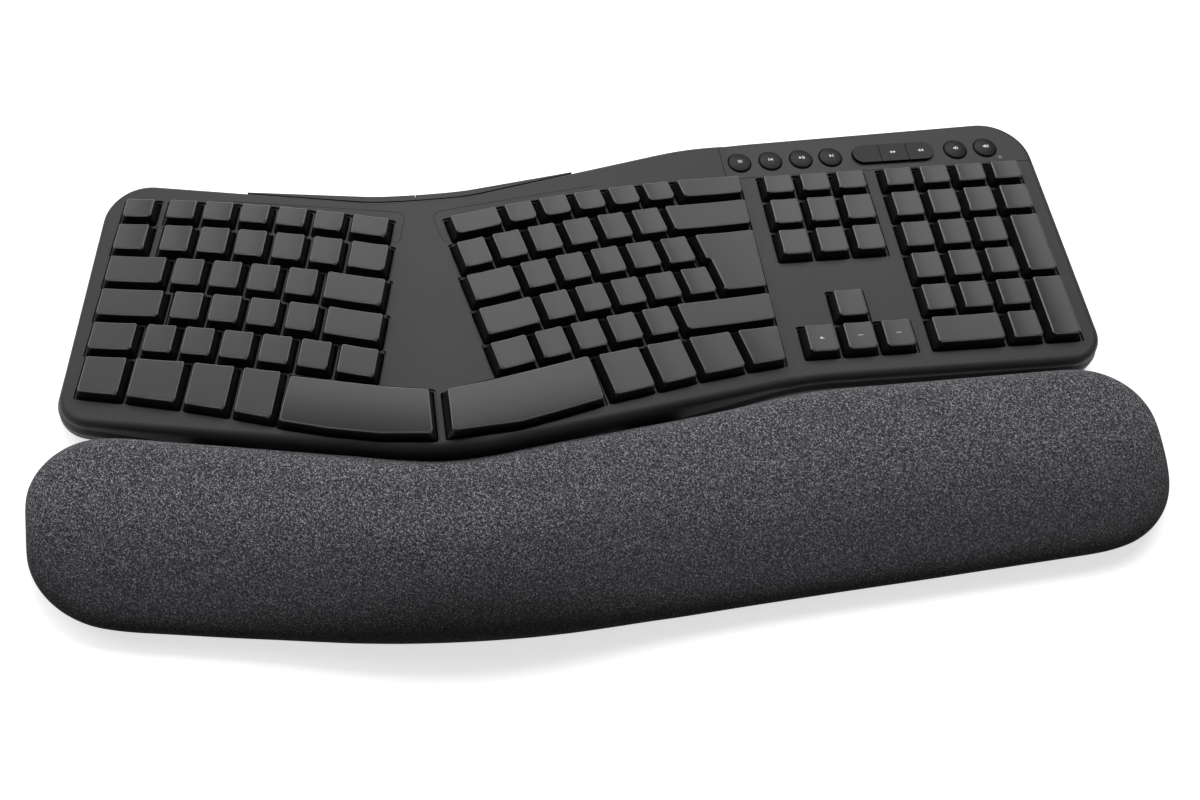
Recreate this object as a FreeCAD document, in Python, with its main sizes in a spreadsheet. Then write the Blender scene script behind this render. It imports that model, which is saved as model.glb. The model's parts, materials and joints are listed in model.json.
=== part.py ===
import FreeCAD, Part
import math
import os

# Split ergonomic keyboard with a separate cushioned palm rest.
# Frame: +X to the right, +Y to the back, +Z up, with the table at Z = 0.
# Sizes are millimetres and degrees.

V = FreeCAD.Vector
X_AXIS = V(1, 0, 0)
Y_AXIS = V(0, 1, 0)
Z_AXIS = V(0, 0, 1)

doc = FreeCAD.newDocument("ErgonomicKeyboard")
sheet = doc.addObject("Spreadsheet::Sheet", "Sizes")

SIZES = {
    # Key grid
    "key_pitch": 19.0,
    "top_row_depth": 14.9,
    "top_row_offset": 17.2,
    "row_radius": 886.0,
    "half_tilt": 8.8,
    "left_turn": 15.25,
    "right_turn": 12.9,
    # Origins of the key fields: the left edge of the first number key
    "left_field_x": -202.4,
    "left_field_y": 83.2,
    "left_field_z": 28.2,
    "right_field_x": -60.0,
    "right_field_y": 49.2,
    "right_field_z": 46.4,
    "cursor_field_x": 104.7,
    "pad_field_x": 168.0,
    "flat_field_y": 78.0,
    "flat_field_z": 22.3,
    # Key caps
    "cap_height": 8.5,
    "cap_wall": 1.2,
    "cap_roof": 1.5,
    "cap_top_inset_x": 2.4,
    "cap_top_inset_y": 2.1,
    "cap_base_inset": 0.8,
    "cap_corner": 1.2,
    "cap_front_corner": 2.4,
    "key_travel": 2.2,
    "stem_radius": 3.0,
    "post_radius": 1.8,
    "post_margin": 9.0,
    "sliding_gap": 0.3,
    # Casing
    "deck_drop": 5.2,
    "deck_thickness": 3.0,
    "well_depth": 1.3,
    "well_margin": 0.4,
    "rib_width": 1.0,
    "case_wall": 2.2,
    "case_floor": 2.0,
    "rim_round": 3.5,
    "well_corner": 1.5,
    "crest_radius": 124.0,
    "bend_radius": 40.0,
    "split_height": 9.0,
    "case_flare": 1.2,
    "flare_crease": 12.0,
    "flare_start": 5.0,
    "case_tuck": 1.5,
    "foot_height": 1.2,
    "foot_length": 20.0,
    "foot_width": 8.0,
    "seam_gap": 0.3,
    "strip_depth": 4.4,
    "strip_step": 1.6,
    "strip_half_length": 82.0,
    "strip_reach": 92.0,
    "strip_end_radius": 300.0,
    "strip_front_y": 72.0,
    # Switch layers below each key field
    "guide_plate": 1.4,
    "guide_rim": 2.0,
    "dome_sheet_plate": 0.6,
    "dome_radius": 3.4,
    "dome_height": 0.4,
    "membrane_plate": 0.4,
    "back_plate": 0.8,
    "layer_corner": 1.0,
    "layer_edge_gap": 0.6,
    "layer_seam": 0.5,
    "layer_post_radius": 4.0,
    "layer_bend_margin": 2.7,
    # Media buttons
    "media_seam_x": 89.0,
    "media_seam_y": 103.4,
    "button_radius": 6.0,
    "button_stem_radius": 2.0,
    "button_rise": 1.6,
    "button_skirt": 4.6,
    "button_edge": 1.0,
    "button_travel": 0.7,
    "button_line_y": 113.3,
    "pill_length": 43.6,
    "pill_width": 11.6,
    "pill_middle_x": 180.2,
    "media_board_plate": 1.6,
    "media_board_top": 9.6,
    "media_board_width": 14.4,
    "media_board_margin": 7.2,
    "tact_size": 6.0,
    "tact_height": 1.7,
    # Boards, power and fasteners
    "board_length": 70.0,
    "board_width": 38.0,
    "board_plate": 1.6,
    "board_lift": 3.0,
    "board_middle_y": 51.0,
    "board_pin_radius": 2.5,
    "board_pin_margin": 5.0,
    "cell_radius": 7.25,
    "cell_length": 50.5,
    "cell_gap": 0.8,
    "battery_wall": 1.6,
    "battery_x": -75.0,
    "battery_y": 42.0,
    "contact_plate": 0.5,
    "contact_side": 9.0,
    "door_gap": 0.3,
    "boss_radius": 3.4,
    "screw_radius": 1.4,
    "screw_bite": 4.0,
    "screw_gap": 0.1,
    "screw_head_radius": 2.6,
    "screw_head_height": 1.2,
    "led_radius": 0.95,
    "led_x": 236.5,
    "led_y": 106.9,
    # Palm rest
    "rest_end_height": 19.0,
    "rest_crown_rise": 14.0,
    "rest_crown_spread": 72.0,
    "rest_end_round": 34.0,
    "rest_board": 2.0,
    "rest_board_inset": 7.0,
    "rest_board_round": 5.0,
    "fabric_seat": 0.1,
    "fabric_thickness": 1.0,
    "tongue_width": 30.0,
    "tongue_reach": 7.0,
    "tongue_root": 18.0,
}

for row, (alias, value) in enumerate(SIZES.items(), start=1):
    sheet.set("A%d" % row, alias)
    sheet.set("B%d" % row, str(value))
    sheet.setAlias("B%d" % row, alias)
doc.recompute()


def size(alias):
    return float(sheet.get(alias))


# Lengths that only serve the cutting and joining of solids, not sizes of the product
FAR = 320.0
ABOVE = 2.0
ROOT = 0.5
PILL_FLAT = 0.1
LED_FIT = 0.05
NEARLY_STRAIGHT = 150.0
GENTLE_ROUND = 30.0

# Corners of the casing in plan, clockwise from the rear left, with their radii
CASE_CORNERS = [
    (-225.0, 125.0, 22.0),
    (-73.0, 81.0, 114.0),
    (80.0, 126.4, 200.0),
    (254.0, 131.0, 24.0),
    (253.5, -18.5, 17.0),
    (101.0, -18.0, 150.0),
    (-75.0, -56.0, 105.0),
    (-255.0, -10.0, 16.0),
]
REAR_VALLEY = 1

# Corners of the palm rest in plan, clockwise from the rear left, with their radii
REST_CORNERS = [
    (-269.0, -11.0, 34.0),
    (-75.0, -61.0, 110.0),
    (101.0, -22.5, 150.0),
    (274.0, -20.5, 36.0),
    (262.0, -110.0, 45.0),
    (-72.0, -135.0, 600.0),
    (-269.0, -108.0, 48.0),
]

# Places in plan, in the deck's blank stretches and clear of the key stems
RIDGE_X = -75.0
SCREW_PLACES = [
    (-204.0, 113.2), (-133.0, 93.5), (-75.0, 68.0), (-75.0, 16.0), (-17.0, 91.0),
    (68.0, 112.0), (178.0, 124.1), (244.0, 116.0), (114.0, 22.0), (157.0, 22.0),
]
LAYER_POSTS = [
    (-211.0, 92.0), (-234.0, 17.0), (-164.0, 77.0), (-169.0, -3.0), (-117.0, 74.0), (-104.0, -33.0),
    (-41.0, 70.0), (21.0, 84.0), (81.0, 90.0), (86.0, 4.0), (-44.0, -34.0), (16.0, -18.0),
    (113.0, 96.0), (176.0, 96.0), (237.0, 96.0), (113.0, -2.0), (176.0, -2.0), (237.0, -2.0),
    (176.0, 50.0),
]
MEDIA_PINS_X = (113, 166, 226)
CASE_FEET = [
    (-207.0, 98.0), (-237.0, 4.0), (-75.0, 70.0), (-99.0, -40.0), (237.0, 108.0), (237.0, -6.0),
    (91.0, -4.0),
]
REST_FEET = [(-234.0, -68.0), (-119.0, -98.0), (1.0, -98.0), (121.0, -73.0), (236.0, -63.0)]

# Tongues of the palm rest: place along X and the casing corners of the edge that they cross
TONGUES = [(-180.0, 6, 7), (30.0, 5, 6)]


# Plane geometry helpers

def line_meet(p, d, q, e):
    """Point where the line through p along d meets the line through q along e."""
    across = d.x * e.y - d.y * e.x
    along = ((q.x - p.x) * e.y - (q.y - p.y) * e.x) / across
    return p + d * along


def rounded_wire(corners, radii):
    """Closed wire through flat corners, each rounded with its own radius."""
    starts, middles, ends = [], [], []
    count = len(corners)
    for i, corner in enumerate(corners):
        to_last = (corners[i - 1] - corner).normalize()
        to_next = (corners[(i + 1) % count] - corner).normalize()
        half = to_last.getAngle(to_next) / 2
        run = radii[i] / math.tan(half)
        inward = (to_last + to_next).normalize()
        starts.append(corner + to_last * run)
        ends.append(corner + to_next * run)
        middles.append(corner + inward * (radii[i] / math.sin(half) - radii[i]))
    edges = []
    for i in range(count):
        edges.append(Part.Arc(starts[i], middles[i], ends[i]).toShape())
        edges.append(Part.LineSegment(ends[i], starts[(i + 1) % count]).toShape())
    return Part.Wire(edges)


def inset(corners, inset_x, inset_y):
    """Clockwise corners moved inwards: steep sides by inset_x, level sides by inset_y."""
    count = len(corners)
    sides = []
    for i in range(count):
        along = (corners[(i + 1) % count] - corners[i]).normalize()
        inward = V(along.y, -along.x, 0)
        steep = abs(inward.x) > abs(inward.y)
        sides.append((corners[i] + inward * (inset_x if steep else inset_y), along))
    return [line_meet(*sides[i - 1], *sides[i]) for i in range(count)]


def lifted(points, height):
    return [V(p.x, p.y, height) for p in points]


def prism(corners, radii, low, high):
    """Upright prism between two heights, with rounded corners."""
    face = Part.Face(rounded_wire(lifted(corners, low), radii))
    return face.extrude(Z_AXIS * (high - low))


def plan_corners(rows):
    return [V(x, y, 0) for x, y, radius in rows], [radius for x, y, radius in rows]


def add_feature(label, shape, placement=None):
    """Document object for a shape that the other kinds of object can't describe."""
    feature = doc.addObject("Part::Feature", label)
    feature.Label = label
    feature.Shape = shape
    if placement is not None:
        feature.Placement = placement
    return feature


def bind(thing, **expressions):
    """Tie properties of an object to sheet expressions; a double underscore is a dot."""
    for name, expression in expressions.items():
        thing.setExpression(name.replace("__", "."), expression)


# Key fields: each is a plane with its origin, turn in plan and sideways tilt

def field(x, y, z, turn=0.0, tilt=0.0):
    spin = FreeCAD.Rotation(Y_AXIS, tilt).multiply(FreeCAD.Rotation(Z_AXIS, turn))
    return FreeCAD.Placement(V(x, y, z), spin)


tilt = size("half_tilt")
LEFT = field(size("left_field_x"), size("left_field_y"), size("left_field_z"),
             -size("left_turn"), -tilt)
RIGHT = field(size("right_field_x"), size("right_field_y"), size("right_field_z"),
              size("right_turn"), tilt)
CURSOR = field(size("cursor_field_x"), size("flat_field_y"), size("flat_field_z"))
PAD = field(size("pad_field_x"), size("flat_field_y"), size("flat_field_z"))

pitch = size("key_pitch")
half_row = pitch / 2

# Depths below the key tops: a pressed cap stops just above the guide plate, and its stem
# just above the flattened dome
guide_top = size("cap_height") + size("key_travel") + size("sliding_gap")
stem_foot = guide_top + size("guide_plate") + size("sliding_gap")
dome_top = stem_foot + size("key_travel") + size("sliding_gap") + size("dome_height")
top_row = (size("top_row_offset") + size("top_row_depth") / 2,
           size("top_row_offset") - size("top_row_depth") / 2)


def row_span(row):
    """Rear and front edge of a key row, where row 0 is the number row."""
    if row == "top":
        return top_row
    return -pitch * row + half_row, -pitch * row - half_row


def bowed(u, v, bow_middle):
    """Point of a bowed row; flat fields have no bow."""
    if bow_middle is None:
        return V(u, v, 0)
    return V(u, v - (u - bow_middle) ** 2 / (2 * size("row_radius")), 0)


def cell(start, end, row, bow_middle, lean=0.0):
    """Corners of a key's cell, clockwise from the rear left; lean slants its right side."""
    rear, front = row_span(row)
    return [bowed(start, rear, bow_middle), bowed(end + lean * rear, rear, bow_middle),
            bowed(end + lean * front, front, bow_middle), bowed(start, front, bow_middle)]


class Key:
    """One key: the node that it belongs to and the corners of its cell."""

    def __init__(self, node, corners, stems=None):
        self.node = node
        self.corners = corners
        middle = sum(corners, V()) * (1.0 / len(corners))
        self.stems = stems or [middle]
        wide = corners[1].x - corners[0].x
        if stems is None and wide > 1.6 * pitch:
            reach = wide / 2 - size("post_margin")
            slope = (corners[1] - corners[0]).normalize()
            self.posts = [middle + slope * reach, middle - slope * reach]
        else:
            self.posts = []

    def outline(self, inset_x, inset_y, rear_radius, front_radius):
        """Inset corners and their radii; corners in the front half are the front ones."""
        corners = inset(self.corners, inset_x, inset_y)
        middle = sum(c.y for c in corners) / len(corners)
        radii = [rear_radius if c.y > middle else front_radius for c in corners]
        for i, corner in enumerate(corners):
            last = corners[i - 1] - corner
            following = corners[(i + 1) % len(corners)] - corner
            if last.getAngle(following) > math.radians(NEARLY_STRAIGHT):
                radii[i] = GENTLE_ROUND
        return corners, radii

    def cap(self):
        """Hollow tapered cap with its stem and posts, its top in the field's plane."""
        height = size("cap_height")
        corner = size("cap_corner")
        base = size("cap_base_inset")
        top_x, top_y = size("cap_top_inset_x"), size("cap_top_inset_y")
        low, low_radii = self.outline(base, base, corner, corner)
        high, high_radii = self.outline(top_x, top_y, corner, size("cap_front_corner"))
        body = Part.makeLoft([rounded_wire(lifted(low, -height), low_radii),
                              rounded_wire(lifted(high, 0), high_radii)], True, True)
        wall = size("cap_wall")
        hollow_low = inset(self.corners, base + wall, base + wall)
        hollow_high = inset(self.corners, top_x + wall, top_y + wall)
        loops = [Part.makePolygon(lifted(ring, level) + [lifted(ring, level)[0]])
                 for ring, level in ((hollow_low, -height), (hollow_high, -size("cap_roof")))]
        body = body.cut(Part.makeLoft(loops, True, True))
        pin_length = stem_foot - size("cap_roof") + ROOT
        pins = [Part.makeCylinder(size("stem_radius"), pin_length, V(p.x, p.y, -stem_foot))
                for p in self.stems]
        pins += [Part.makeCylinder(size("post_radius"), pin_length, V(p.x, p.y, -stem_foot))
                 for p in self.posts]
        return body.fuse(pins)

    def opening(self):
        """Prism that clears the cap through the deck's lattice."""
        edge = size("rib_width") / 2
        corners, radii = self.outline(edge, edge, size("cap_corner"), size("cap_corner"))
        return prism(corners, radii, -guide_top, ABOVE)

    def guide_holes(self):
        gap = size("sliding_gap")
        deep = dome_top
        places = [(p, size("stem_radius")) for p in self.stems]
        places += [(p, size("post_radius")) for p in self.posts]
        return [Part.makeCylinder(radius + gap, deep, V(p.x, p.y, -deep - 1)) for p, radius in places]


def run_of_keys(node, start, widths, row, bow_middle, lean=0.0):
    """Keys side by side in one row; lean slants the last key's right side."""
    keys = []
    for i, width in enumerate(widths):
        last = i == len(widths) - 1
        keys.append(Key(node, cell(start, start + width, row, bow_middle, lean if last else 0.0)))
        start += width
    return keys


def bottom_key(node, start, end, front, bow_middle, lean=0.0):
    """Deep key of the bottom row, whose front edge is given at both of its ends."""
    rear = -3.5 * pitch
    corners = [(start, rear), (end + lean * rear, rear),
               (end + lean * front[1], front[1]), (start, front[0])]
    return Key(node, [bowed(u, v, bow_middle) for u, v in corners])


# Left half, in the left field's plane
LEFT_BOW = 35.0
LEFT_FRONT_START = -89.6
LEFT_FRONT_SLOPE = -0.055


def left_front(u):
    return LEFT_FRONT_START + LEFT_FRONT_SLOPE * (u + 20)


left_keys = []
left_keys += run_of_keys("escape_key", -23.5, [19.3], "top", LEFT_BOW)
left_keys += run_of_keys("function_keys_left", -1.1, [18.8] * 5 + [22.3], "top", LEFT_BOW)
left_keys += run_of_keys("number_keys_left", -23.6, [20.2], 0, LEFT_BOW)
left_keys += run_of_keys("number_keys_left", 0.0, [pitch] * 5 + [22.8], 0, LEFT_BOW)
left_keys += run_of_keys("tab_key", -23.0, [33.2], 1, LEFT_BOW)
left_keys += run_of_keys("upper_letters_left", 10.5, [pitch] * 4 + [33.0], 1, LEFT_BOW)
left_keys += run_of_keys("caps_lock_key", -22.4, [35.6], 2, LEFT_BOW)
left_keys += run_of_keys("home_letters_left", 14.4, [pitch] * 4 + [31.2], 2, LEFT_BOW)
left_keys += run_of_keys("shift_key_left", -21.6, [26.2], 3, LEFT_BOW)
left_keys += run_of_keys("lower_letters_left", 5.3, [pitch] * 5 + [22.5], 3, LEFT_BOW)
for start, end in ((-20.4, 4.2), (4.2, 32.6), (32.6, 56.9), (56.9, 79.4)):
    left_keys.append(bottom_key("modifier_keys_left", start, end,
                                (left_front(start), left_front(end)), LEFT_BOW))

space_left = [V(*p, 0) for p in (
    (79.4, -68.7), (104.0, -69.6), (128.0, -70.2), (148.4, -69.5),
    (154.8, -95.6), (128.0, -98.4), (104.0, -98.3), (78.4, -96.6))]
left_keys.append(Key("space_bar_left", space_left,
                     [V(92, -83, 0), V(115, -84, 0), V(138, -83, 0)]))

# Right half, in the right field's plane; its right side follows the cursor keys
RIGHT_BOW = 60.0
RIGHT_LEAN = math.tan(math.radians(size("right_turn")))
right_end = 161.3

right_keys = []
right_keys += run_of_keys("function_keys_right", 2.4, [29.0] + [pitch] * 5, "top", RIGHT_BOW)
right_keys += run_of_keys("function_keys_right", 126.9, [right_end - 126.9], "top",
                          RIGHT_BOW, RIGHT_LEAN)
right_keys += run_of_keys("number_keys_right", 0.0, [pitch] * 6, 0, RIGHT_BOW)
right_keys += run_of_keys("backspace_key", 113.6, [right_end - 113.6], 0, RIGHT_BOW, RIGHT_LEAN)
right_keys += run_of_keys("upper_letters_right", -1.9, [28.4] + [pitch] * 4 + [18.6], 1, RIGHT_BOW)
right_keys += run_of_keys("home_letters_right", -2.6, [31.9] + [pitch] * 4 + [18.6], 2, RIGHT_BOW)
right_keys += run_of_keys("lower_letters_right", -3.8, [22.9] + [pitch] * 4, 3, RIGHT_BOW)
right_keys += run_of_keys("shift_key_right", 95.2, [right_end - 95.2], 3, RIGHT_BOW, RIGHT_LEAN)

upper_rear, upper_front = row_span(1)
lower_front = row_span(2)[1]
enter_corners = [(122.0, upper_rear), (right_end + RIGHT_LEAN * upper_rear, upper_rear),
                 (right_end + RIGHT_LEAN * lower_front, lower_front), (124.2, lower_front),
                 (124.2, upper_front), (122.0, upper_front)]
right_keys.append(Key("enter_key", [bowed(u, v, RIGHT_BOW) for u, v in enter_corners],
                      [bowed(138.5, -2 * pitch, RIGHT_BOW), bowed(138.5, -pitch, RIGHT_BOW)]))

for start, end, front in ((45.2, 70.6, (-92.8, -92.4)), (70.6, 93.2, (-92.4, -91.4)),
                          (93.2, 119.4, (-91.4, -90.4))):
    right_keys.append(bottom_key("modifier_keys_right", start, end, front, RIGHT_BOW))
right_keys.append(bottom_key("modifier_keys_right", 119.4, right_end, (-90.2, -89.4),
                             RIGHT_BOW, RIGHT_LEAN))

space_right = [V(*p, 0) for p in (
    (-31.4, -68.2), (-10.0, -68.3), (14.0, -67.4), (45.0, -65.8),
    (43.6, -93.1), (20.0, -94.8), (-2.0, -96.0), (-37.4, -93.2))]
right_keys.append(Key("space_bar_right", space_right,
                      [V(-20, -81, 0), V(5, -81, 0), V(30, -80, 0)]))

# Cursor block and number pad, in their own level planes
cursor_keys = []
for row in ("top", 0, 1):
    cursor_keys += run_of_keys("cursor_block_keys", 0.0, [pitch] * 3, row, None)
cursor_keys += run_of_keys("arrow_key_up", pitch, [pitch], 3, None)
for column, name in enumerate(("arrow_key_left", "arrow_key_down", "arrow_key_right")):
    cursor_keys += run_of_keys(name, column * pitch, [pitch], 4, None)

pad_keys = []
pad_keys += run_of_keys("pad_keys", 0.0, [pitch] * 4, "top", None)
for row in (0, 1, 2, 3):
    pad_keys += run_of_keys("pad_keys", 0.0, [pitch] * (4 if row == 0 else 3), row, None)
pad_keys += run_of_keys("pad_zero_key", 0.0, [2 * pitch], 4, None)
pad_keys += run_of_keys("pad_keys", 2 * pitch, [pitch], 4, None)
for name, first in (("pad_plus_key", 1), ("pad_enter_key", 3)):
    rear, front = row_span(first)[0], row_span(first + 1)[1]
    tall = [V(3 * pitch, rear, 0), V(4 * pitch, rear, 0), V(4 * pitch, front, 0), V(3 * pitch, front, 0)]
    pad_keys.append(Key(name, tall, [V(3.5 * pitch, rear - half_row, 0),
                                     V(3.5 * pitch, front + half_row, 0)]))

FIELDS = [(LEFT, left_keys), (RIGHT, right_keys), (CURSOR, cursor_keys), (PAD, pad_keys)]

for placement, keys in FIELDS:
    nodes = []
    for key in keys:
        if key.node not in nodes:
            nodes.append(key.node)
    for node in nodes:
        caps = [key.cap() for key in keys if key.node == node]
        add_feature(node, Part.makeCompound(caps) if len(caps) > 1 else caps[0], placement)


# Casing: the deck's cross-section runs the whole depth of the keyboard

def field_line(placement, depth, slope_degrees):
    """Line in the XZ plane, depth below a key field's plane, as point and direction."""
    slope = math.radians(slope_degrees)
    along = V(math.cos(slope), math.sin(slope), 0)
    down = V(math.sin(slope), -math.cos(slope), 0)
    return V(placement.Base.x, placement.Base.z, 0) + down * depth, along


def below_deck(depth):
    """Everything that lies deeper than depth below the key tops."""
    left = field_line(LEFT, depth, tilt)
    right = field_line(RIGHT, depth, -tilt)
    level = field_line(CURSOR, depth, 0)
    crest = line_meet(*left, *right)
    bend = line_meet(*right, *level)
    left_far = line_meet(*left, V(-FAR, 0, 0), V(0, 1, 0))
    right_far = line_meet(*level, V(FAR, 0, 0), V(0, 1, 0))
    corners = [V(-FAR, -FAR, 0), left_far, crest, bend, right_far, V(FAR, -FAR, 0)]
    radii = [1, 1, size("crest_radius") - depth, size("bend_radius") + depth, 1, 1]
    face = Part.Face(rounded_wire(corners, radii))
    face.rotate(V(), X_AXIS, 90)
    face.translate(V(0, FAR, 0))
    return face.extrude(V(0, -2 * FAR, 0))


case_points, case_radii = plan_corners(CASE_CORNERS)


def edge_point(first, second, x):
    """Point at x on the straight edge between two corners of the casing's outline."""
    p, q = case_points[first], case_points[second]
    return V(x, p.y + (q.y - p.y) * (x - p.x) / (q.x - p.x), 0)


# The tray's outline is the casing's, but its rear valley is filled up for the rear strips
before, after = REAR_VALLEY - 1, REAR_VALLEY + 1
strip_points = (case_points[:REAR_VALLEY]
                + [edge_point(before, REAR_VALLEY, RIDGE_X - size("strip_reach")),
                   case_points[REAR_VALLEY] + V(0, size("strip_depth"), 0),
                   edge_point(REAR_VALLEY, after, RIDGE_X + size("strip_reach"))]
                + case_points[after:])
strip_radii = (case_radii[:REAR_VALLEY]
               + [size("strip_end_radius"), case_radii[REAR_VALLEY], size("strip_end_radius")]
               + case_radii[after:])
wall = size("case_wall")
foot = size("foot_height")
split = size("split_height")
ceiling = 70.0


def case_outline(points, radii, margin):
    """Corners and radii of the casing's outline, moved inwards by margin."""
    moved_radii = list(radii)
    for i in range(len(points)):
        turn = (points[i - 1] - points[i]).cross(points[(i + 1) % len(points)] - points[i]).z
        moved_radii[i] = radii[i] - margin if turn > 0 else radii[i] + margin
    return inset(points, margin, margin), moved_radii


def case_prism(points, radii, margin, low, high):
    """Prism of the casing's outline, moved inwards by margin."""
    return prism(*case_outline(points, radii, margin), low, high)


def case_taper(points, radii, low_margin, low, high_margin, high):
    """Block whose sides slant from one margin of the casing's outline to another."""
    wires = []
    for margin, height in ((low_margin, low), (high_margin, high)):
        corners, moved_radii = case_outline(points, radii, margin)
        wires.append(rounded_wire(lifted(corners, height), moved_radii))
    return Part.makeLoft(wires, True, True)


flare = size("case_flare")


def flared_foot(points, radii):
    """Foot of the casing's upper part, which flares outwards below the crease."""
    return case_taper(points, radii, -flare, split, 0, size("flare_crease"))


deck_depth = size("deck_drop")
well_floor = deck_depth + size("well_depth")
deck_under = deck_depth + size("deck_thickness")
shell_block = case_prism(case_points, case_radii, 0, split, ceiling).common(below_deck(deck_depth))
rim_edges = []
for edge in shell_block.Edges:
    middle = edge.valueAt((edge.FirstParameter + edge.LastParameter) / 2)
    wall_normals = [abs(face.normalAt(0, 0).z) < 0.01 for face in shell_block.Faces
                    if any(edge.isSame(other) for other in face.Edges)]
    if middle.z > split + 1 and sum(wall_normals) == 1:
        rim_edges.append(edge)
shell_block = shell_block.makeFillet(size("rim_round"), rim_edges)
shell_block = shell_block.fuse(flared_foot(case_points, case_radii)).removeSplitter()
interior = case_prism(case_points, case_radii, wall, split - 1, ceiling).common(below_deck(deck_under))

# Wells: one recess for each key row, then one opening for each key
row_recesses = []
openings = []
for placement, keys in FIELDS:
    for key in keys:
        margin = -size("well_margin")
        corners, radii = key.outline(margin, margin, size("well_corner"), size("well_corner"))
        row_recesses.append(prism(corners, radii, -well_floor, ABOVE).transformed(placement.toMatrix()))
        openings.append(key.opening().transformed(placement.toMatrix()))


def pillars(radius, places, low, high):
    """Upright round posts between two heights, as one compound."""
    return Part.makeCompound([Part.makeCylinder(radius, high - low, V(x, y, low)) for x, y in places])


bore_radius = size("screw_radius") + size("screw_gap")
bore_depth = size("screw_bite") + 1.0
bosses = pillars(size("boss_radius"), SCREW_PLACES, split, ceiling)
cover = shell_block.cut(interior).cut(row_recesses).cut(Part.makeCompound(openings))
cover = cover.fuse(bosses.common(below_deck(deck_under - ROOT)))
cover = cover.cut(pillars(bore_radius, SCREW_PLACES, split, split + bore_depth))
cover_blank = add_feature("cover_blank", cover)

# The media panel is the deck behind the cursor block and the number pad
media_zone = doc.addObject("Part::Box", "media_zone")
bind(media_zone, Length="Sizes.key_pitch * 12", Width="Sizes.key_pitch * 3",
     Height="Sizes.key_pitch * 3", Placement__Base__x="Sizes.media_seam_x",
     Placement__Base__y="Sizes.media_seam_y")
panel_zone = doc.addObject("Part::Box", "panel_zone")
bind(panel_zone, Length="media_zone.Length", Width="media_zone.Width",
     Height="media_zone.Height", Placement__Base__x="Sizes.media_seam_x + Sizes.seam_gap",
     Placement__Base__y="Sizes.media_seam_y + Sizes.seam_gap")
top_cover = doc.addObject("Part::Cut", "top_cover")
top_cover.Base = cover_blank
top_cover.Tool = media_zone
top_cover.Label = "top_cover"
doc.recompute()


# Media buttons: round caps on stems over tact switches, and one pill in three parts
panel_top = size("flat_field_z") - deck_depth
button_y = size("button_line_y")
button_low = panel_top + size("button_rise") - size("button_skirt")
button_foot = (size("media_board_top") + size("tact_height")
               + size("button_travel") + size("sliding_gap"))
bind_button_foot = ("Sizes.media_board_top + Sizes.tact_height"
                    " + Sizes.button_travel + Sizes.sliding_gap")
bind_button_low = ("Sizes.flat_field_z - Sizes.deck_drop"
                   " + Sizes.button_rise - Sizes.button_skirt")

ROUND_BUTTONS = [("media_button_1", 98.4), ("media_button_2", 114.8), ("media_button_3", 131.1),
                 ("media_button_4", 146.8), ("media_button_8", 214.0), ("media_button_9", 230.1)]


def button_stem(name, x):
    """Stem below a media button, ending above its switch."""
    stem = doc.addObject("Part::Cylinder", name + "_stem")
    bind(stem, Radius="Sizes.button_stem_radius",
         Height="%s - (%s) + Sizes.button_edge" % (bind_button_low, bind_button_foot),
         Placement__Base__z=bind_button_foot, Placement__Base__y="Sizes.button_line_y")
    stem.Placement.Base.x = x
    return stem


def join(label, base, tool):
    fused = doc.addObject("Part::Fuse", label)
    fused.Base = base
    fused.Tool = tool
    fused.Label = label
    return fused


def fillet(name, base, chosen, radius):
    """Fillet on the chosen edges of a finished object."""
    rounded = doc.addObject("Part::Fillet", name)
    rounded.Base = base
    rounded.Edges = [(i, radius, radius) for i in chosen]
    return rounded


for name, x in ROUND_BUTTONS:
    body = doc.addObject("Part::Cylinder", name + "_body")
    bind(body, Radius="Sizes.button_radius", Height="Sizes.button_skirt",
         Placement__Base__y="Sizes.button_line_y", Placement__Base__z=bind_button_low)
    body.Placement.Base.x = x
    doc.recompute()
    top_edges = [i for i, edge in enumerate(body.Shape.Edges, start=1)
                 if edge.BoundBox.ZMin > panel_top]
    crowned = fillet(name + "_crown", body, top_edges, size("button_edge"))
    join(name, crowned, button_stem(name, x))

pill_half = size("pill_length") / 2
pill_round = size("pill_width") / 2
pill_x = size("pill_middle_x")
pill_third = size("pill_length") / 3
fit = size("sliding_gap")


def pill_prism(margin, low, high):
    """Prism with nearly half-round ends, in from the pill's hole by margin."""
    left, right = pill_x - pill_half + margin, pill_x + pill_half - margin
    rear, front = button_y + pill_round - margin, button_y - pill_round + margin
    corners = [V(left, rear, 0), V(right, rear, 0), V(right, front, 0), V(left, front, 0)]
    return prism(corners, [pill_round - margin - PILL_FLAT] * 4, low, high)


for i in range(3):
    name = "media_button_%d" % (5 + i)
    pill = pill_prism(fit, button_low, button_low + size("button_skirt"))
    low_x = pill_x - pill_half + i * pill_third + fit / 2
    slot = Part.makeBox(pill_third - fit, 2 * pill_round, ceiling, V(low_x, button_y - pill_round, 0))
    segment = add_feature(name + "_body", pill.common(slot))
    join(name, segment, button_stem(name, low_x + pill_third / 2))

# Openings of the media panel
round_places = [(x, button_y) for name, x in ROUND_BUTTONS]
led_hole = size("led_radius") + LED_FIT
panel_holes = add_feature("panel_holes", Part.makeCompound([
    pillars(size("button_radius") + fit, round_places, split, ceiling),
    pill_prism(0, split, ceiling),
    pillars(led_hole, [(size("led_x"), size("led_y"))], split, ceiling)]))
panel_blank = doc.addObject("Part::Common", "panel_blank")
panel_blank.Base = cover_blank
panel_blank.Tool = panel_zone
media_panel = doc.addObject("Part::Cut", "media_panel")
media_panel.Base = panel_blank
media_panel.Tool = panel_holes
media_panel.Label = "media_panel"

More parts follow.
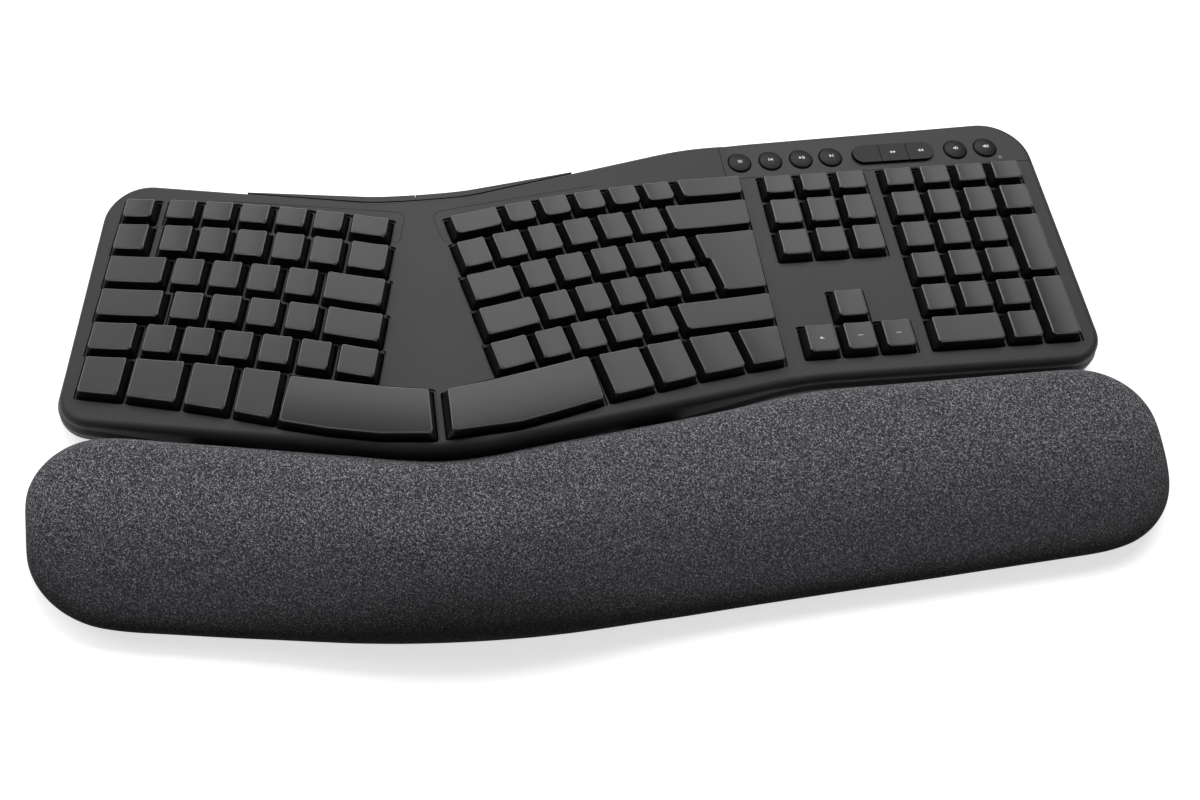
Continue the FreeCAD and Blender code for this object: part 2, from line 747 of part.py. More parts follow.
led_lens = doc.addObject("Part::Cylinder", "led_lens")
led_lens.Label = "led_lens"
bind(led_lens, Radius="Sizes.led_radius",
     Height="Sizes.flat_field_z - Sizes.deck_drop - Sizes.media_board_top",
     Placement__Base__x="Sizes.led_x", Placement__Base__y="Sizes.led_y",
     Placement__Base__z="Sizes.media_board_top")

# Bottom case: tray with posts for the switch layers, screw bosses and the battery bay
inside_floor = foot + size("case_floor")
tray = case_prism(strip_points, strip_radii, -flare, size("flare_start"), split)
tray = tray.fuse(case_taper(strip_points, strip_radii, size("case_tuck"), foot,
                            -flare, size("flare_start")))
tray = tray.removeSplitter().cut(case_prism(strip_points, strip_radii, wall, inside_floor, split + 1))
layers_bottom = dome_top + size("dome_sheet_plate") + size("membrane_plate") + size("back_plate")
post_low = inside_floor - ROOT
posts = pillars(size("layer_post_radius"), LAYER_POSTS, post_low, ceiling)
posts = posts.common(below_deck(layers_bottom))
low_bosses = pillars(size("boss_radius"), SCREW_PLACES, foot, split)

bay_length = size("cell_length") + 2 * size("contact_plate") + size("sliding_gap")
bay_width = 4 * size("cell_radius") + size("cell_gap") + 2 * size("sliding_gap")
bay_height = 2 * size("cell_radius") + 2 * size("sliding_gap")
bay_wall = size("battery_wall")
battery_x, battery_y = size("battery_x"), size("battery_y")


def centred_box(length, width, height, x, y, z):
    return Part.makeBox(length, width, height, V(x - length / 2, y - width / 2, z))


bay_block = centred_box(bay_length + 2 * bay_wall, bay_width + 2 * bay_wall,
                        bay_height + bay_wall, battery_x, battery_y, post_low)
bay_room = centred_box(bay_length, bay_width, bay_height + size("case_floor"),
                       battery_x, battery_y, foot)

board_low = inside_floor + size("board_lift")
pin_x = size("board_length") / 2 - size("board_pin_margin")
pin_y = size("board_width") / 2 - size("board_pin_margin")
board_pins = [(sx * pin_x, size("board_middle_y") + sy * pin_y) for sx in (-1, 1) for sy in (-1, 1)]
board_posts = pillars(size("board_pin_radius"), board_pins, post_low, board_low)
media_board_low = size("media_board_top") - size("media_board_plate")
media_board_front = button_y - size("media_board_width") / 2
media_pins = [(x, media_board_front + size("board_pin_margin")) for x in MEDIA_PINS_X]
media_posts = pillars(size("board_pin_radius"), media_pins, post_low, media_board_low)

case = tray.fuse([posts, low_bosses, bay_block, board_posts, media_posts]).cut(bay_room)
head_hole = size("screw_head_radius") + 2 * size("screw_gap")
case = case.cut(pillars(bore_radius, SCREW_PLACES, foot, split))
case = case.cut(pillars(head_hole, SCREW_PLACES, foot, foot + size("screw_head_height")))


def tongue(x, first, second, gap):
    """Flat tongue of the palm rest that crosses the case's front edge; gap makes its notch."""
    edge_y = edge_point(first, second, x).y
    half = size("tongue_width") / 2 + gap
    length = size("tongue_root") + size("tongue_reach") + gap
    return Part.makeBox(2 * half, length, size("rest_board") + 2 * gap,
                        V(x - half, edge_y - size("tongue_root"), foot - gap))


notches = [tongue(*place, size("sliding_gap")) for place in TONGUES]
add_feature("bottom_case", case.cut(notches))

# Rear strips: two slim covers that fill the rear valley behind the deck, with a seam between
crescent = case_prism(strip_points, strip_radii, 0, split, ceiling)
crescent = crescent.fuse(flared_foot(strip_points, strip_radii))
crescent = crescent.cut(case_prism(case_points, case_radii, 0, split - 1, ceiling + 1))
crescent = crescent.cut(flared_foot(case_points, case_radii))
crescent = crescent.common(below_deck(deck_depth + size("strip_step")))
strip_length = size("strip_half_length") - size("seam_gap") / 2
strips = []
for start in (RIDGE_X - size("strip_half_length"), RIDGE_X + size("seam_gap") / 2):
    slot = Part.makeBox(strip_length, ceiling, ceiling, V(start, size("strip_front_y"), 0))
    strips.append(crescent.common(slot))
add_feature("rear_strips", Part.makeCompound(strips))

# Switch layers below each key field: guide plate, dome sheet, membrane, back plate
layer_bend = CURSOR.Base.x - size("layer_bend_margin")
LAYERS = {
    "left": (LEFT, left_keys, [
        (-24.5, 22.5), (35, 26), (119, 22), (124.5, -66), (152, -67), (157, -99), (100, -101),
        (-23, -92)], -FAR, RIDGE_X - size("layer_seam")),
    "right": (RIGHT, right_keys, [
        (-4, 22), (60, 26), (168, 18), (143, -95), (45, -96), (-40, -97), (-33, -65),
        (-6, -62)], RIDGE_X + size("layer_seam"), layer_bend - size("layer_seam")),
    "flat": (CURSOR, cursor_keys + pad_keys, [
        (-2, 26), (141, 26), (141, -87), (-2, -87)], layer_bend, FAR),
}
boss_clearance = pillars(size("boss_radius") + size("layer_seam"), SCREW_PLACES, 0, ceiling)
layer_room = case_prism(case_points, case_radii, wall + size("layer_edge_gap"), 0, ceiling)
plate_low = guide_top + size("guide_plate")
pad_step = PAD.Base - CURSOR.Base
sheets = {"dome_sheets": [], "membranes": [], "back_plates": []}


def layer(corners, top, bottom):
    """Flat layer with the given corners, between two depths below the key tops."""
    return prism(corners, [size("layer_corner")] * len(corners), -bottom, -top)


for side, (placement, keys, outline, low_x, high_x) in LAYERS.items():
    room = layer_room.common(Part.makeBox(high_x - low_x, 2 * FAR, ceiling, V(low_x, -FAR, 0)))
    room = room.cut(boss_clearance)
    corners = [V(u, v, 0) for u, v in outline]
    inner = inset(corners, size("guide_rim"), size("guide_rim"))
    guide_holes, domes = [], []
    for key in keys:
        step = pad_step if key in pad_keys else V()
        guide_holes += [hole.translated(step) for hole in key.guide_holes()]
        for point in key.stems:
            domes.append(Part.makeCylinder(size("dome_radius"), size("dome_height") + ROOT / 2,
                                           point + step - V(0, 0, dome_top + ROOT / 2)))
    guide = layer(corners, guide_top, dome_top)
    guide = guide.cut(layer(inner, plate_low, dome_top + 1))
    guide = guide.cut(Part.makeCompound(guide_holes))
    add_feature("guide_plate_" + side, guide.transformed(placement.toMatrix()).common(room))

    levels = [dome_top, dome_top + size("dome_sheet_plate")]
    levels.append(levels[-1] + size("membrane_plate"))
    levels.append(levels[-1] + size("back_plate"))
    for i, name in enumerate(sheets):
        sheet_shape = layer(corners, levels[i], levels[i + 1])
        if name == "dome_sheets":
            sheet_shape = sheet_shape.fuse(domes)
        sheets[name].append(sheet_shape.transformed(placement.toMatrix()).common(room))

for name, shapes in sheets.items():
    add_feature(name, Part.makeCompound([solid for shape in shapes for solid in shape.Solids]))

# Boards
circuit_board = doc.addObject("Part::Box", "circuit_board")
circuit_board.Label = "circuit_board"
bind(circuit_board, Length="Sizes.board_length", Width="Sizes.board_width",
     Height="Sizes.board_plate", Placement__Base__x="-Sizes.board_length / 2",
     Placement__Base__y="Sizes.board_middle_y - Sizes.board_width / 2",
     Placement__Base__z="Sizes.foot_height + Sizes.case_floor + Sizes.board_lift")

button_places = [x for name, x in ROUND_BUTTONS] + [pill_x + i * pill_third for i in (-1, 0, 1)]
board_start = min(button_places) - size("media_board_margin")
board_end = max(button_places) + size("media_board_margin") + size("led_radius")
media_parts = [Part.makeBox(board_end - board_start, size("media_board_width"),
                            size("media_board_plate"),
                            V(board_start, media_board_front, media_board_low))]
tact = size("tact_size")
for x in button_places:
    media_parts.append(centred_box(tact, tact, size("tact_height"), x, button_y, size("media_board_top")))
add_feature("media_board", media_parts[0].fuse(media_parts[1:]))

# Batteries, their contacts and the door below them
cell_z = inside_floor + size("cell_radius") + size("sliding_gap")
cell_side = size("cell_radius") + size("cell_gap") / 2
cells, contacts = [], []
for side in (-1, 1):
    start = V(battery_x - size("cell_length") / 2, battery_y + side * cell_side, cell_z)
    cells.append(Part.makeCylinder(size("cell_radius"), size("cell_length"), start, X_AXIS))
    for end in (-1, 1):
        plate_x = battery_x + end * (bay_length - size("contact_plate")) / 2
        contact = size("contact_side")
        contacts.append(centred_box(size("contact_plate"), contact, contact, plate_x,
                                    battery_y + side * cell_side, cell_z - contact / 2))
add_feature("batteries", Part.makeCompound(cells))
add_feature("battery_contacts", Part.makeCompound(contacts))

door_body = doc.addObject("PartDesign::Body", "battery_door")
door_body.Label = "battery_door"
door_sketch = door_body.newObject("Sketcher::SketchObject", "door_outline")
base_plane = [f for f in door_body.Origin.OriginFeatures if f.Role == "XY_Plane"][0]
door_sketch.AttachmentSupport = (base_plane, [""])
door_sketch.MapMode = "FlatFace"
door_half = (bay_length / 2 - size("door_gap"), bay_width / 2 - size("door_gap"))
door_points = [V(sx * door_half[0], sy * door_half[1], 0)
               for sx, sy in ((-1, -1), (1, -1), (1, 1), (-1, 1))]
for i in range(4):
    door_sketch.addGeometry(Part.LineSegment(door_points[i], door_points[(i + 1) % 4]))
door_pad = door_body.newObject("PartDesign::Pad", "door_plate")
door_pad.Profile = door_sketch
bind(door_pad, Length="Sizes.case_floor")
bind(door_body, Placement__Base__x="Sizes.battery_x", Placement__Base__y="Sizes.battery_y",
     Placement__Base__z="Sizes.foot_height")

# Screws: a head in the floor's recess and a shank into the cover's boss
screws = []
for x, y in SCREW_PLACES:
    head_low = foot + 2 * size("screw_gap")
    head_high = foot + size("screw_head_height")
    head = Part.makeCylinder(size("screw_head_radius"), head_high - head_low, V(x, y, head_low))
    shank = Part.makeCylinder(size("screw_radius"), split + size("screw_bite") - head_low,
                              V(x, y, head_low))
    screws.append(head.fuse(shank))
add_feature("case_screws", Part.makeCompound(screws))

# Feet under the case and under the palm rest
add_feature("rubber_feet", Part.makeCompound([
    centred_box(size("foot_length"), size("foot_width"), foot, x, y, 0)
    for x, y in CASE_FEET + REST_FEET]))

# Palm rest: board, foam and fabric; the foam's crown follows the keyboard's ridge
rest_points, rest_radii = plan_corners(REST_CORNERS)
rest_block = prism(rest_points, rest_radii, 0, 1)
board_inset = size("rest_board_inset")
board_high = foot + size("rest_board")
rest_board = prism(inset(rest_points, board_inset, board_inset),
                   [max(r - board_inset, size("rest_board_round")) for r in rest_radii],
                   foot, board_high)
rest_board = rest_board.fuse([tongue(*place, 0) for place in TONGUES])
add_feature("palm_rest_board", rest_board)

# The cushion's section has five corners: its place across the depth and up the rise, and
# its rounding as a share of the rise, clockwise from the front top; the crown is far rounder
SECTION_CORNERS = [(0.02, 0.90, 0.52), (0.55, 1.02, None), (0.98, 0.92, 0.48),
                   (1.0, 0.0, 0.36), (0.0, 0.0, 0.38)]
CROWN_ROUND = 1.1
END_LIFT = 0.46
END_STEPS = (1.5, 4.0, 8.0, 14.0, 22.0, 32.0, 46.0, 66.0)
MIDDLE_STATIONS = 31


def cushion_rise(x, end_distance):
    """Height of the cushion above its board: highest at the ridge, rounded at both ends."""
    away = (x - RIDGE_X) / size("rest_crown_spread")
    full = size("rest_end_height") - board_high + size("rest_crown_rise") * math.exp(-away * away)
    share = min(end_distance / size("rest_end_round"), 1.0)
    return full * (END_LIFT + (1 - END_LIFT) * math.sqrt(1 - (1 - share) ** 2))


def rest_section(x, skin, end_distance):
    """Closed section of the cushion across X, inside a skin of the given thickness."""
    bounds = [wire.BoundBox for wire in rest_block.slice(X_AXIS, x)]
    rear = max(b.YMax for b in bounds)
    front = min(b.YMin for b in bounds)
    depth = rear - front
    low = board_high + size("fabric_seat")
    rise = cushion_rise(x, end_distance)
    edge = min(rise, depth / 2)
    corners = [V(front + across * depth, low + up * rise, 0) for across, up, share in SECTION_CORNERS]
    radii = [CROWN_ROUND * depth if share is None else share * edge
             for across, up, share in SECTION_CORNERS]
    inner = inset(corners, skin, skin)
    return rounded_wire([V(x, p.x, p.y) for p in inner], [radius - skin for radius in radii])


def cushion(skin):
    """Solid of the cushion, lofted from end to end."""
    left, right = rest_block.BoundBox.XMin, rest_block.BoundBox.XMax
    start, end = left + END_STEPS[-1], right - END_STEPS[-1]
    run = (end - start) / (MIDDLE_STATIONS + 1)
    stations = [(left + step + skin, step) for step in END_STEPS]
    stations += [(start + run * (i + 1), END_STEPS[-1]) for i in range(MIDDLE_STATIONS)]
    stations += [(right - step - skin, step) for step in reversed(END_STEPS)]
    return Part.makeLoft([rest_section(x, skin, step) for x, step in stations], True, True)


foam = cushion(size("fabric_thickness"))
add_feature("palm_rest_foam", foam)
inner_shell = foam.Shells[0].copy()
inner_shell.reverse()
fabric_shells = [cushion(0.0).Shells[0], inner_shell]
add_feature("palm_rest_fabric", Part.makeSolid(Part.makeCompound(fabric_shells)))

# Check every object, then write one file for each named piece
PIECES = []
for placement, keys in FIELDS:
    for key in keys:
        if key.node not in PIECES:
            PIECES.append(key.node)
PIECES += ["media_button_%d" % i for i in range(1, 10)]
PIECES += ["top_cover", "media_panel", "led_lens", "bottom_case", "rear_strips",
           "guide_plate_left", "guide_plate_right", "guide_plate_flat", "dome_sheets", "membranes",
           "back_plates", "circuit_board", "media_board", "batteries", "battery_contacts",
           "battery_door", "case_screws", "rubber_feet", "palm_rest_board", "palm_rest_foam",
           "palm_rest_fabric"]

doc.recompute()
for thing in doc.Objects:
    if "Invalid" in thing.State or "Error" in thing.State:
        raise ValueError("%s failed to rebuild" % thing.Name)
os.makedirs("parts", exist_ok=True)
pieces = {name: doc.getObjectsByLabel(name)[0] for name in PIECES}
for name, piece in pieces.items():
    if piece.Shape.isNull() or not piece.Shape.isValid() or not piece.Shape.Solids:
        raise ValueError("%s has no valid shape" % name)
whole = FreeCAD.BoundBox()
for name, piece in pieces.items():
    piece.Shape.exportStep("parts/%s.step" % name)
    whole.add(piece.Shape.BoundBox)
    print("%-22s %3d solids %10.0f mm3" % (name, len(piece.Shape.Solids), piece.Shape.Volume))
print(len(pieces), "pieces", whole)
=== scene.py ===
import json
import math

import bmesh
import bpy
import numpy as np
from mathutils import Matrix, Vector
from mathutils.bvhtree import BVHTree

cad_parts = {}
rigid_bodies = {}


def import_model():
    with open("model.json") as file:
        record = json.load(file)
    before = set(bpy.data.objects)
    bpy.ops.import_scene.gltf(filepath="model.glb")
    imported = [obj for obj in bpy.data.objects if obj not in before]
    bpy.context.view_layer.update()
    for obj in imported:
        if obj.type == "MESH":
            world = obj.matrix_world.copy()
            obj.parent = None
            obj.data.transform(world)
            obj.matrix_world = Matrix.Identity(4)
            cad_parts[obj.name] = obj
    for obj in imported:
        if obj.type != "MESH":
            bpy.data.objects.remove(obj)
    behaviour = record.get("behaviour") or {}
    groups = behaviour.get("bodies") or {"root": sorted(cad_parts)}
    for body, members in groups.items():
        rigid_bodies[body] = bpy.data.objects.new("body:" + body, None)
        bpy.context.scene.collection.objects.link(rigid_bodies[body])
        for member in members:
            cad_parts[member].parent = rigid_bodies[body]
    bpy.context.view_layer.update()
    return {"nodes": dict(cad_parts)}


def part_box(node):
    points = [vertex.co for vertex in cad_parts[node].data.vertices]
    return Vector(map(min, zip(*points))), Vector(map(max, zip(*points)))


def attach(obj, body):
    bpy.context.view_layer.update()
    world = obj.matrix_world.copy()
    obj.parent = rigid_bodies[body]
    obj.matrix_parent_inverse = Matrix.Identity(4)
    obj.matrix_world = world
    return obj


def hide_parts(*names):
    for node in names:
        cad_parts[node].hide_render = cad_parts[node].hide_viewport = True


for thing in list(bpy.data.objects):
    bpy.data.objects.remove(thing)
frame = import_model()


# Lower tray of the casing: one injection-moulded piece of black plastic, which everything else
# is screwed or laid into. Its outside has a fine spark-eroded grain.

CASE_DARK = (0.027, 0.027, 0.028)
CASE_LIGHT = (0.034, 0.034, 0.036)
CASE_ROUGHNESS = 0.52
CASE_GRAIN = 0.0004
CASE_GRAIN_DEPTH = 0.00003
MOTTLE_SIZE = 0.035


class Wire:
    """One socket of a finish. Sums and products of wires add the nodes that work them out."""

    def __init__(self, finish, socket):
        self.finish = finish
        self.socket = socket

    def worked(self, operation, first, second):
        return self.finish.node("ShaderNodeMath", {"operation": operation}, {0: first, 1: second})

    def __add__(self, other):
        return self.worked("ADD", self, other)

    def __radd__(self, other):
        return self.worked("ADD", other, self)

    def __sub__(self, other):
        return self.worked("SUBTRACT", self, other)

    def __rsub__(self, other):
        return self.worked("SUBTRACT", other, self)

    def __mul__(self, other):
        return self.worked("MULTIPLY", self, other)

    def __rmul__(self, other):
        return self.worked("MULTIPLY", other, self)

    def larger(self, other):
        return self.worked("MAXIMUM", self, other)

    def between(self, low, high):
        """0 below low, 1 above high, and a smooth rise between them."""
        return self.finish.node("ShaderNodeMapRange", {"interpolation_type": "SMOOTHSTEP"},
                                {"Value": self, "From Min": low, "From Max": high})


class Finish:
    """A material with one Principled shader, whose textures are placed in the row frame."""

    def __init__(self, name, **constants):
        self.material = bpy.data.materials.new(name)
        self.material.use_nodes = True
        self.tree = self.material.node_tree
        self.shader = next(n for n in self.tree.nodes if n.type == "BSDF_PRINCIPLED")
        self.place = self.node("ShaderNodeTexCoord", {}, {}, "Object")
        for socket, value in constants.items():
            self.shader.inputs[socket.replace("_", " ")].default_value = value

    def node(self, kind, settings, sockets, output=0):
        """Any node: its type, its settings and the values or wires of its sockets."""
        made = self.tree.nodes.new(kind)
        for setting, value in settings.items():
            setattr(made, setting, value)
        for socket, value in sockets.items():
            if isinstance(value, Wire):
                self.tree.links.new(value.socket, made.inputs[socket])
            else:
                made.inputs[socket].default_value = value
        return Wire(self, made.outputs[output])

    def grain(self, size, detail=3.0, place=None):
        """Cloudy noise from 0 to 1 whose lumps are about size metres."""
        return self.node("ShaderNodeTexNoise", {"noise_dimensions": "3D"},
                         {"Vector": place or self.place, "Scale": 1.0 / size, "Detail": detail})

    def bands(self, direction, scale, waver):
        """Wavy stripes from 0 to 1."""
        return self.node("ShaderNodeTexWave", {"wave_type": "BANDS", "bands_direction": direction},
                         {"Vector": self.place, "Scale": scale, "Distortion": waver, "Detail": 0.0})

    def mix(self, factor, first, second):
        """Colour between two colours, given as tuples or wires."""
        first, second = [colour if isinstance(colour, Wire) else (*colour, 1.0)
                         for colour in (first, second)]
        return self.node("ShaderNodeMix", {"data_type": "RGBA"},
                         {0: factor, 6: first, 7: second}, 2)

    def along(self, axis):
        """One of the row frame's coordinates, in metres."""
        return self.node("ShaderNodeSeparateXYZ", {}, {0: self.place}, axis)

    def stretched(self, factors):
        """The row frame's coordinates, stretched by a factor along each axis."""
        return self.node("ShaderNodeVectorMath", {"operation": "MULTIPLY"},
                         {0: self.place, 1: factors})

    def upward(self):
        """1 on faces that look up, 0 on upright ones."""
        normal = self.node("ShaderNodeNewGeometry", {}, {}, "Normal")
        return self.node("ShaderNodeSeparateXYZ", {}, {0: normal}, "Z")

    def feed(self, socket, wire):
        self.tree.links.new(wire.socket, self.shader.inputs[socket])

    def raise_by(self, height, distance):
        """Bump from a height between 0 and 1 that stands for distance metres."""
        bump = self.node("ShaderNodeBump", {}, {"Height": height, "Distance": distance}, "Normal")
        self.feed("Normal", bump)


def moulded(name, dark, light, roughness, lump, depth, **constants):
    """Moulded plastic: a fine grain, faint mottling and duller and shinier patches."""
    finish = Finish(name, **constants)
    grain = finish.grain(lump)
    cloud = finish.grain(MOTTLE_SIZE)
    mottle = (cloud * 0.7 + grain * 0.3).between(0.25, 0.75)
    finish.feed("Base Color", finish.mix(mottle, dark, light))
    finish.feed("Roughness", roughness + (cloud - 0.5) * 0.12 + (grain - 0.5) * 0.10)
    finish.raise_by(grain, depth)
    return finish


def dress(finish, *nodes):
    """Give CAD nodes a finish in place of their own."""
    for node in nodes:
        materials = frame["nodes"][node].data.materials
        materials.clear()
        materials.append(finish.material)


case_finish = moulded("case_black", CASE_DARK, CASE_LIGHT, CASE_ROUGHNESS, CASE_GRAIN,
                      CASE_GRAIN_DEPTH)
dress(case_finish, "bottom_case", "battery_door", "palm_rest_board")


# Feet: self-adhesive rubber pads in shallow places of the undersides. The rubber is dull and
# picks up dust.

FOOT_DARK = (0.012, 0.012, 0.012)
FOOT_DUSTY = (0.040, 0.039, 0.037)
FOOT_ROUGHNESS = 0.72
FOOT_DUST_SIZE = 0.0022
FOOT_GRAIN = 0.0005
FOOT_GRAIN_DEPTH = 0.00004

foot_finish = Finish("foot_rubber")
foot_dust = foot_finish.grain(FOOT_DUST_SIZE, detail=5.0).between(0.45, 0.72)
foot_finish.feed("Base Color", foot_finish.mix(foot_dust, FOOT_DARK, FOOT_DUSTY))
foot_finish.feed("Roughness", FOOT_ROUGHNESS + foot_dust * 0.18)
foot_finish.raise_by(foot_finish.grain(FOOT_GRAIN), FOOT_GRAIN_DEPTH)
dress(foot_finish, "rubber_feet")


# Two cells, their sprung contacts and the steel plates behind the keys: bright zinc-plated
# strip, and a printed jacket round each cell.

STEEL = (0.52, 0.52, 0.53)
STEEL_DULL = (0.36, 0.36, 0.37)
STEEL_ROUGHNESS = 0.24
ROLLED_SIZE = 0.001
ROLLED_STRETCH = (0.04, 1.0, 1.0)
ROLLED_DEPTH = 0.00001
SPANGLE_SIZE = 0.006
JACKET = (0.020, 0.022, 0.026)
JACKET_BAND = (0.42, 0.36, 0.24)
JACKET_ROUGHNESS = 0.28
JACKET_WEAR_SIZE = 0.004
BAND_WIDTH = 0.012
BAND_BLUR = 0.0004

steel_finish = Finish("zinc_plated_steel", Metallic=1.0)
rolled = steel_finish.grain(ROLLED_SIZE, detail=4.0, place=steel_finish.stretched(ROLLED_STRETCH))
spangle = steel_finish.grain(SPANGLE_SIZE, detail=4.0)
steel_finish.feed("Base Color", steel_finish.mix(rolled * 0.6 + spangle * 0.4, STEEL_DULL, STEEL))
steel_finish.feed("Roughness", STEEL_ROUGHNESS + rolled * 0.16)
steel_finish.raise_by(rolled, ROLLED_DEPTH)
dress(steel_finish, "battery_contacts", "back_plates", "case_screws")

jacket_finish = Finish("cell_jacket", Coat_Weight=0.4)
band_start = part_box("batteries")[1].x - BAND_WIDTH
band = jacket_finish.along("X").between(band_start, band_start + BAND_BLUR)
jacket_finish.feed("Base Color", jacket_finish.mix(band, JACKET, JACKET_BAND))
jacket_finish.feed("Roughness", JACKET_ROUGHNESS + jacket_finish.grain(JACKET_WEAR_SIZE) * 0.12)
dress(jacket_finish, "batteries")


# Circuit boards: glass cloth and resin under green solder resist, which the copper tracks
# below lift a little.

RESIST = (0.010, 0.070, 0.028)
RESIST_OVER_COPPER = (0.018, 0.110, 0.040)
RESIST_ROUGHNESS = 0.30
TRACK_SCALE = 66.667
TRACK_WAVER = 3.0
TRACK_HEIGHT = 0.00004
CLOTH_SIZE = 0.0006

board_finish = Finish("solder_resist", Coat_Weight=0.5)
copper = board_finish.bands("DIAGONAL", TRACK_SCALE, TRACK_WAVER).between(0.62, 0.70)
board_finish.feed("Base Color", board_finish.mix(copper, RESIST, RESIST_OVER_COPPER))
board_finish.feed("Roughness", RESIST_ROUGHNESS + board_finish.grain(CLOTH_SIZE, detail=2.0) * 0.12)
board_finish.raise_by(copper, TRACK_HEIGHT)
dress(board_finish, "circuit_board", "media_board")


# Switch layers under each key field: a clear film with printed silver tracks, a milky rubber
# sheet with domes, and a grey plate that guides the key stems.

FILM = (0.36, 0.38, 0.36)
SILVER_INK = (0.55, 0.55, 0.54)
INK_SCALE = 60.0
INK_WAVER = 1.5
FILM_ROUGHNESS = 0.22
FILM_WEAR_SIZE = 0.01
DOME_RUBBER = (0.50, 0.50, 0.47)
DOME_RUBBER_DEEP = (0.40, 0.40, 0.37)
DOME_ROUGHNESS = 0.48
MILK_SIZE = 0.008
GUIDE_DARK = (0.014, 0.014, 0.015)
GUIDE_LIGHT = (0.020, 0.020, 0.021)
GUIDE_ROUGHNESS = 0.55

film_finish = Finish("printed_film", Coat_Weight=0.6)
ink = film_finish.bands("X", INK_SCALE, INK_WAVER).between(0.7, 0.78)
film_finish.feed("Base Color", film_finish.mix(ink, FILM, SILVER_INK))
film_finish.feed("Roughness", FILM_ROUGHNESS + film_finish.grain(FILM_WEAR_SIZE, detail=2.0) * 0.1)
dress(film_finish, "membranes")

dome_finish = Finish("dome_rubber", Subsurface_Weight=0.1)
milk = dome_finish.grain(MILK_SIZE)
dome_finish.feed("Base Color", dome_finish.mix(milk, DOME_RUBBER_DEEP, DOME_RUBBER))
dome_finish.feed("Roughness", DOME_ROUGHNESS + milk * 0.12)
dress(dome_finish, "dome_sheets")

guide_finish = moulded("guide_plastic", GUIDE_DARK, GUIDE_LIGHT, GUIDE_ROUGHNESS, CASE_GRAIN,
                       CASE_GRAIN_DEPTH)
dress(guide_finish, "guide_plate_left", "guide_plate_right", "guide_plate_flat")


# Deck: the upper moulding with a rib between every two keys, the piece behind the number pad
# that carries the media buttons, and the two strips along the rear edge. All are charcoal
# plastic with a soft, fine texture.

DECK_DARK = (0.030, 0.030, 0.031)
DECK_LIGHT = (0.038, 0.038, 0.040)
DECK_ROUGHNESS = 0.56
DECK_GRAIN = 0.00035
DECK_GRAIN_DEPTH = 0.00002

deck_finish = moulded("deck_charcoal", DECK_DARK, DECK_LIGHT, DECK_ROUGHNESS, DECK_GRAIN,
                      DECK_GRAIN_DEPTH, Specular_IOR_Level=0.38)
dress(deck_finish, "top_cover", "media_panel", "rear_strips")


# Light pipe behind the number pad: a pin of clear plastic with a frosted face, pushed into
# the media panel. It's dark while it isn't lit.

LENS_DARK = (0.004, 0.004, 0.004)
LENS_GREY = (0.010, 0.010, 0.011)
LENS_ROUGHNESS = 0.3
FROST_SIZE = 0.0002

lens_finish = Finish("frosted_lens", Coat_Weight=0.5, IOR=1.49)
frost = lens_finish.grain(FROST_SIZE, detail=2.0)
lens_finish.feed("Base Color", lens_finish.mix(frost, LENS_DARK, LENS_GREY))
lens_finish.feed("Roughness", LENS_ROUGHNESS + frost * 0.2)
dress(lens_finish, "led_lens")


# Media buttons: low round caps with a crowned top, and one pill split in three. They are
# moulded in black with a satin face, and each but the first part of the pill has a small
# white print.

BUTTON_DARK = (0.006, 0.006, 0.0065)
BUTTON_LIGHT = (0.009, 0.009, 0.0095)
BUTTON_ROUGHNESS = 0.44
BUTTON_GRAIN = 0.0003
BUTTON_GRAIN_DEPTH = 0.00001
ROUND_BUTTONS = (1, 2, 3, 4, 8, 9)
PILL_PARTS = (5, 6, 7)
BUTTON_CROWN = 0.0006
BUTTON_EDGE = 0.0010
BUTTON_SKIRT = 0.0046
STEM_RADIUS = 0.002
TURN_STEPS = 64
EDGE_STEPS = 6
CROWN_STEPS = 8
SHARP_ABOVE = 50.0
PRINT_WHITE = (0.80, 0.80, 0.79)
PRINT_WORN = (0.55, 0.55, 0.55)
PRINT_ROUGHNESS = 0.45
PRINT_WEAR_SIZE = 0.0003
PRINT_LIFT = 0.00003
MILLIMETRE = 0.001

button_finish = moulded("button_satin", BUTTON_DARK, BUTTON_LIGHT, BUTTON_ROUGHNESS, BUTTON_GRAIN,
                        BUTTON_GRAIN_DEPTH, Specular_IOR_Level=0.22)
print_finish = Finish("white_print")
print_wear = print_finish.grain(PRINT_WEAR_SIZE)
print_finish.feed("Base Color", print_finish.mix(print_wear.between(0.2, 0.5), PRINT_WORN,
                                                 PRINT_WHITE))
print_finish.feed("Roughness", PRINT_ROUGHNESS + print_wear * 0.1)


def piece_from(form, name, finish, sharp_above=SHARP_ABOVE):
    """A scene piece from a bmesh, smooth where its faces meet at less than sharp_above degrees."""
    mesh = bpy.data.meshes.new(name)
    form.to_mesh(mesh)
    form.free()
    mesh.polygons.foreach_set("use_smooth", [True] * len(mesh.polygons))
    mesh.set_sharp_from_angle(angle=math.radians(sharp_above))
    mesh.materials.append(finish.material)
    piece = bpy.data.objects.new(name, mesh)
    bpy.context.scene.collection.objects.link(piece)
    return piece


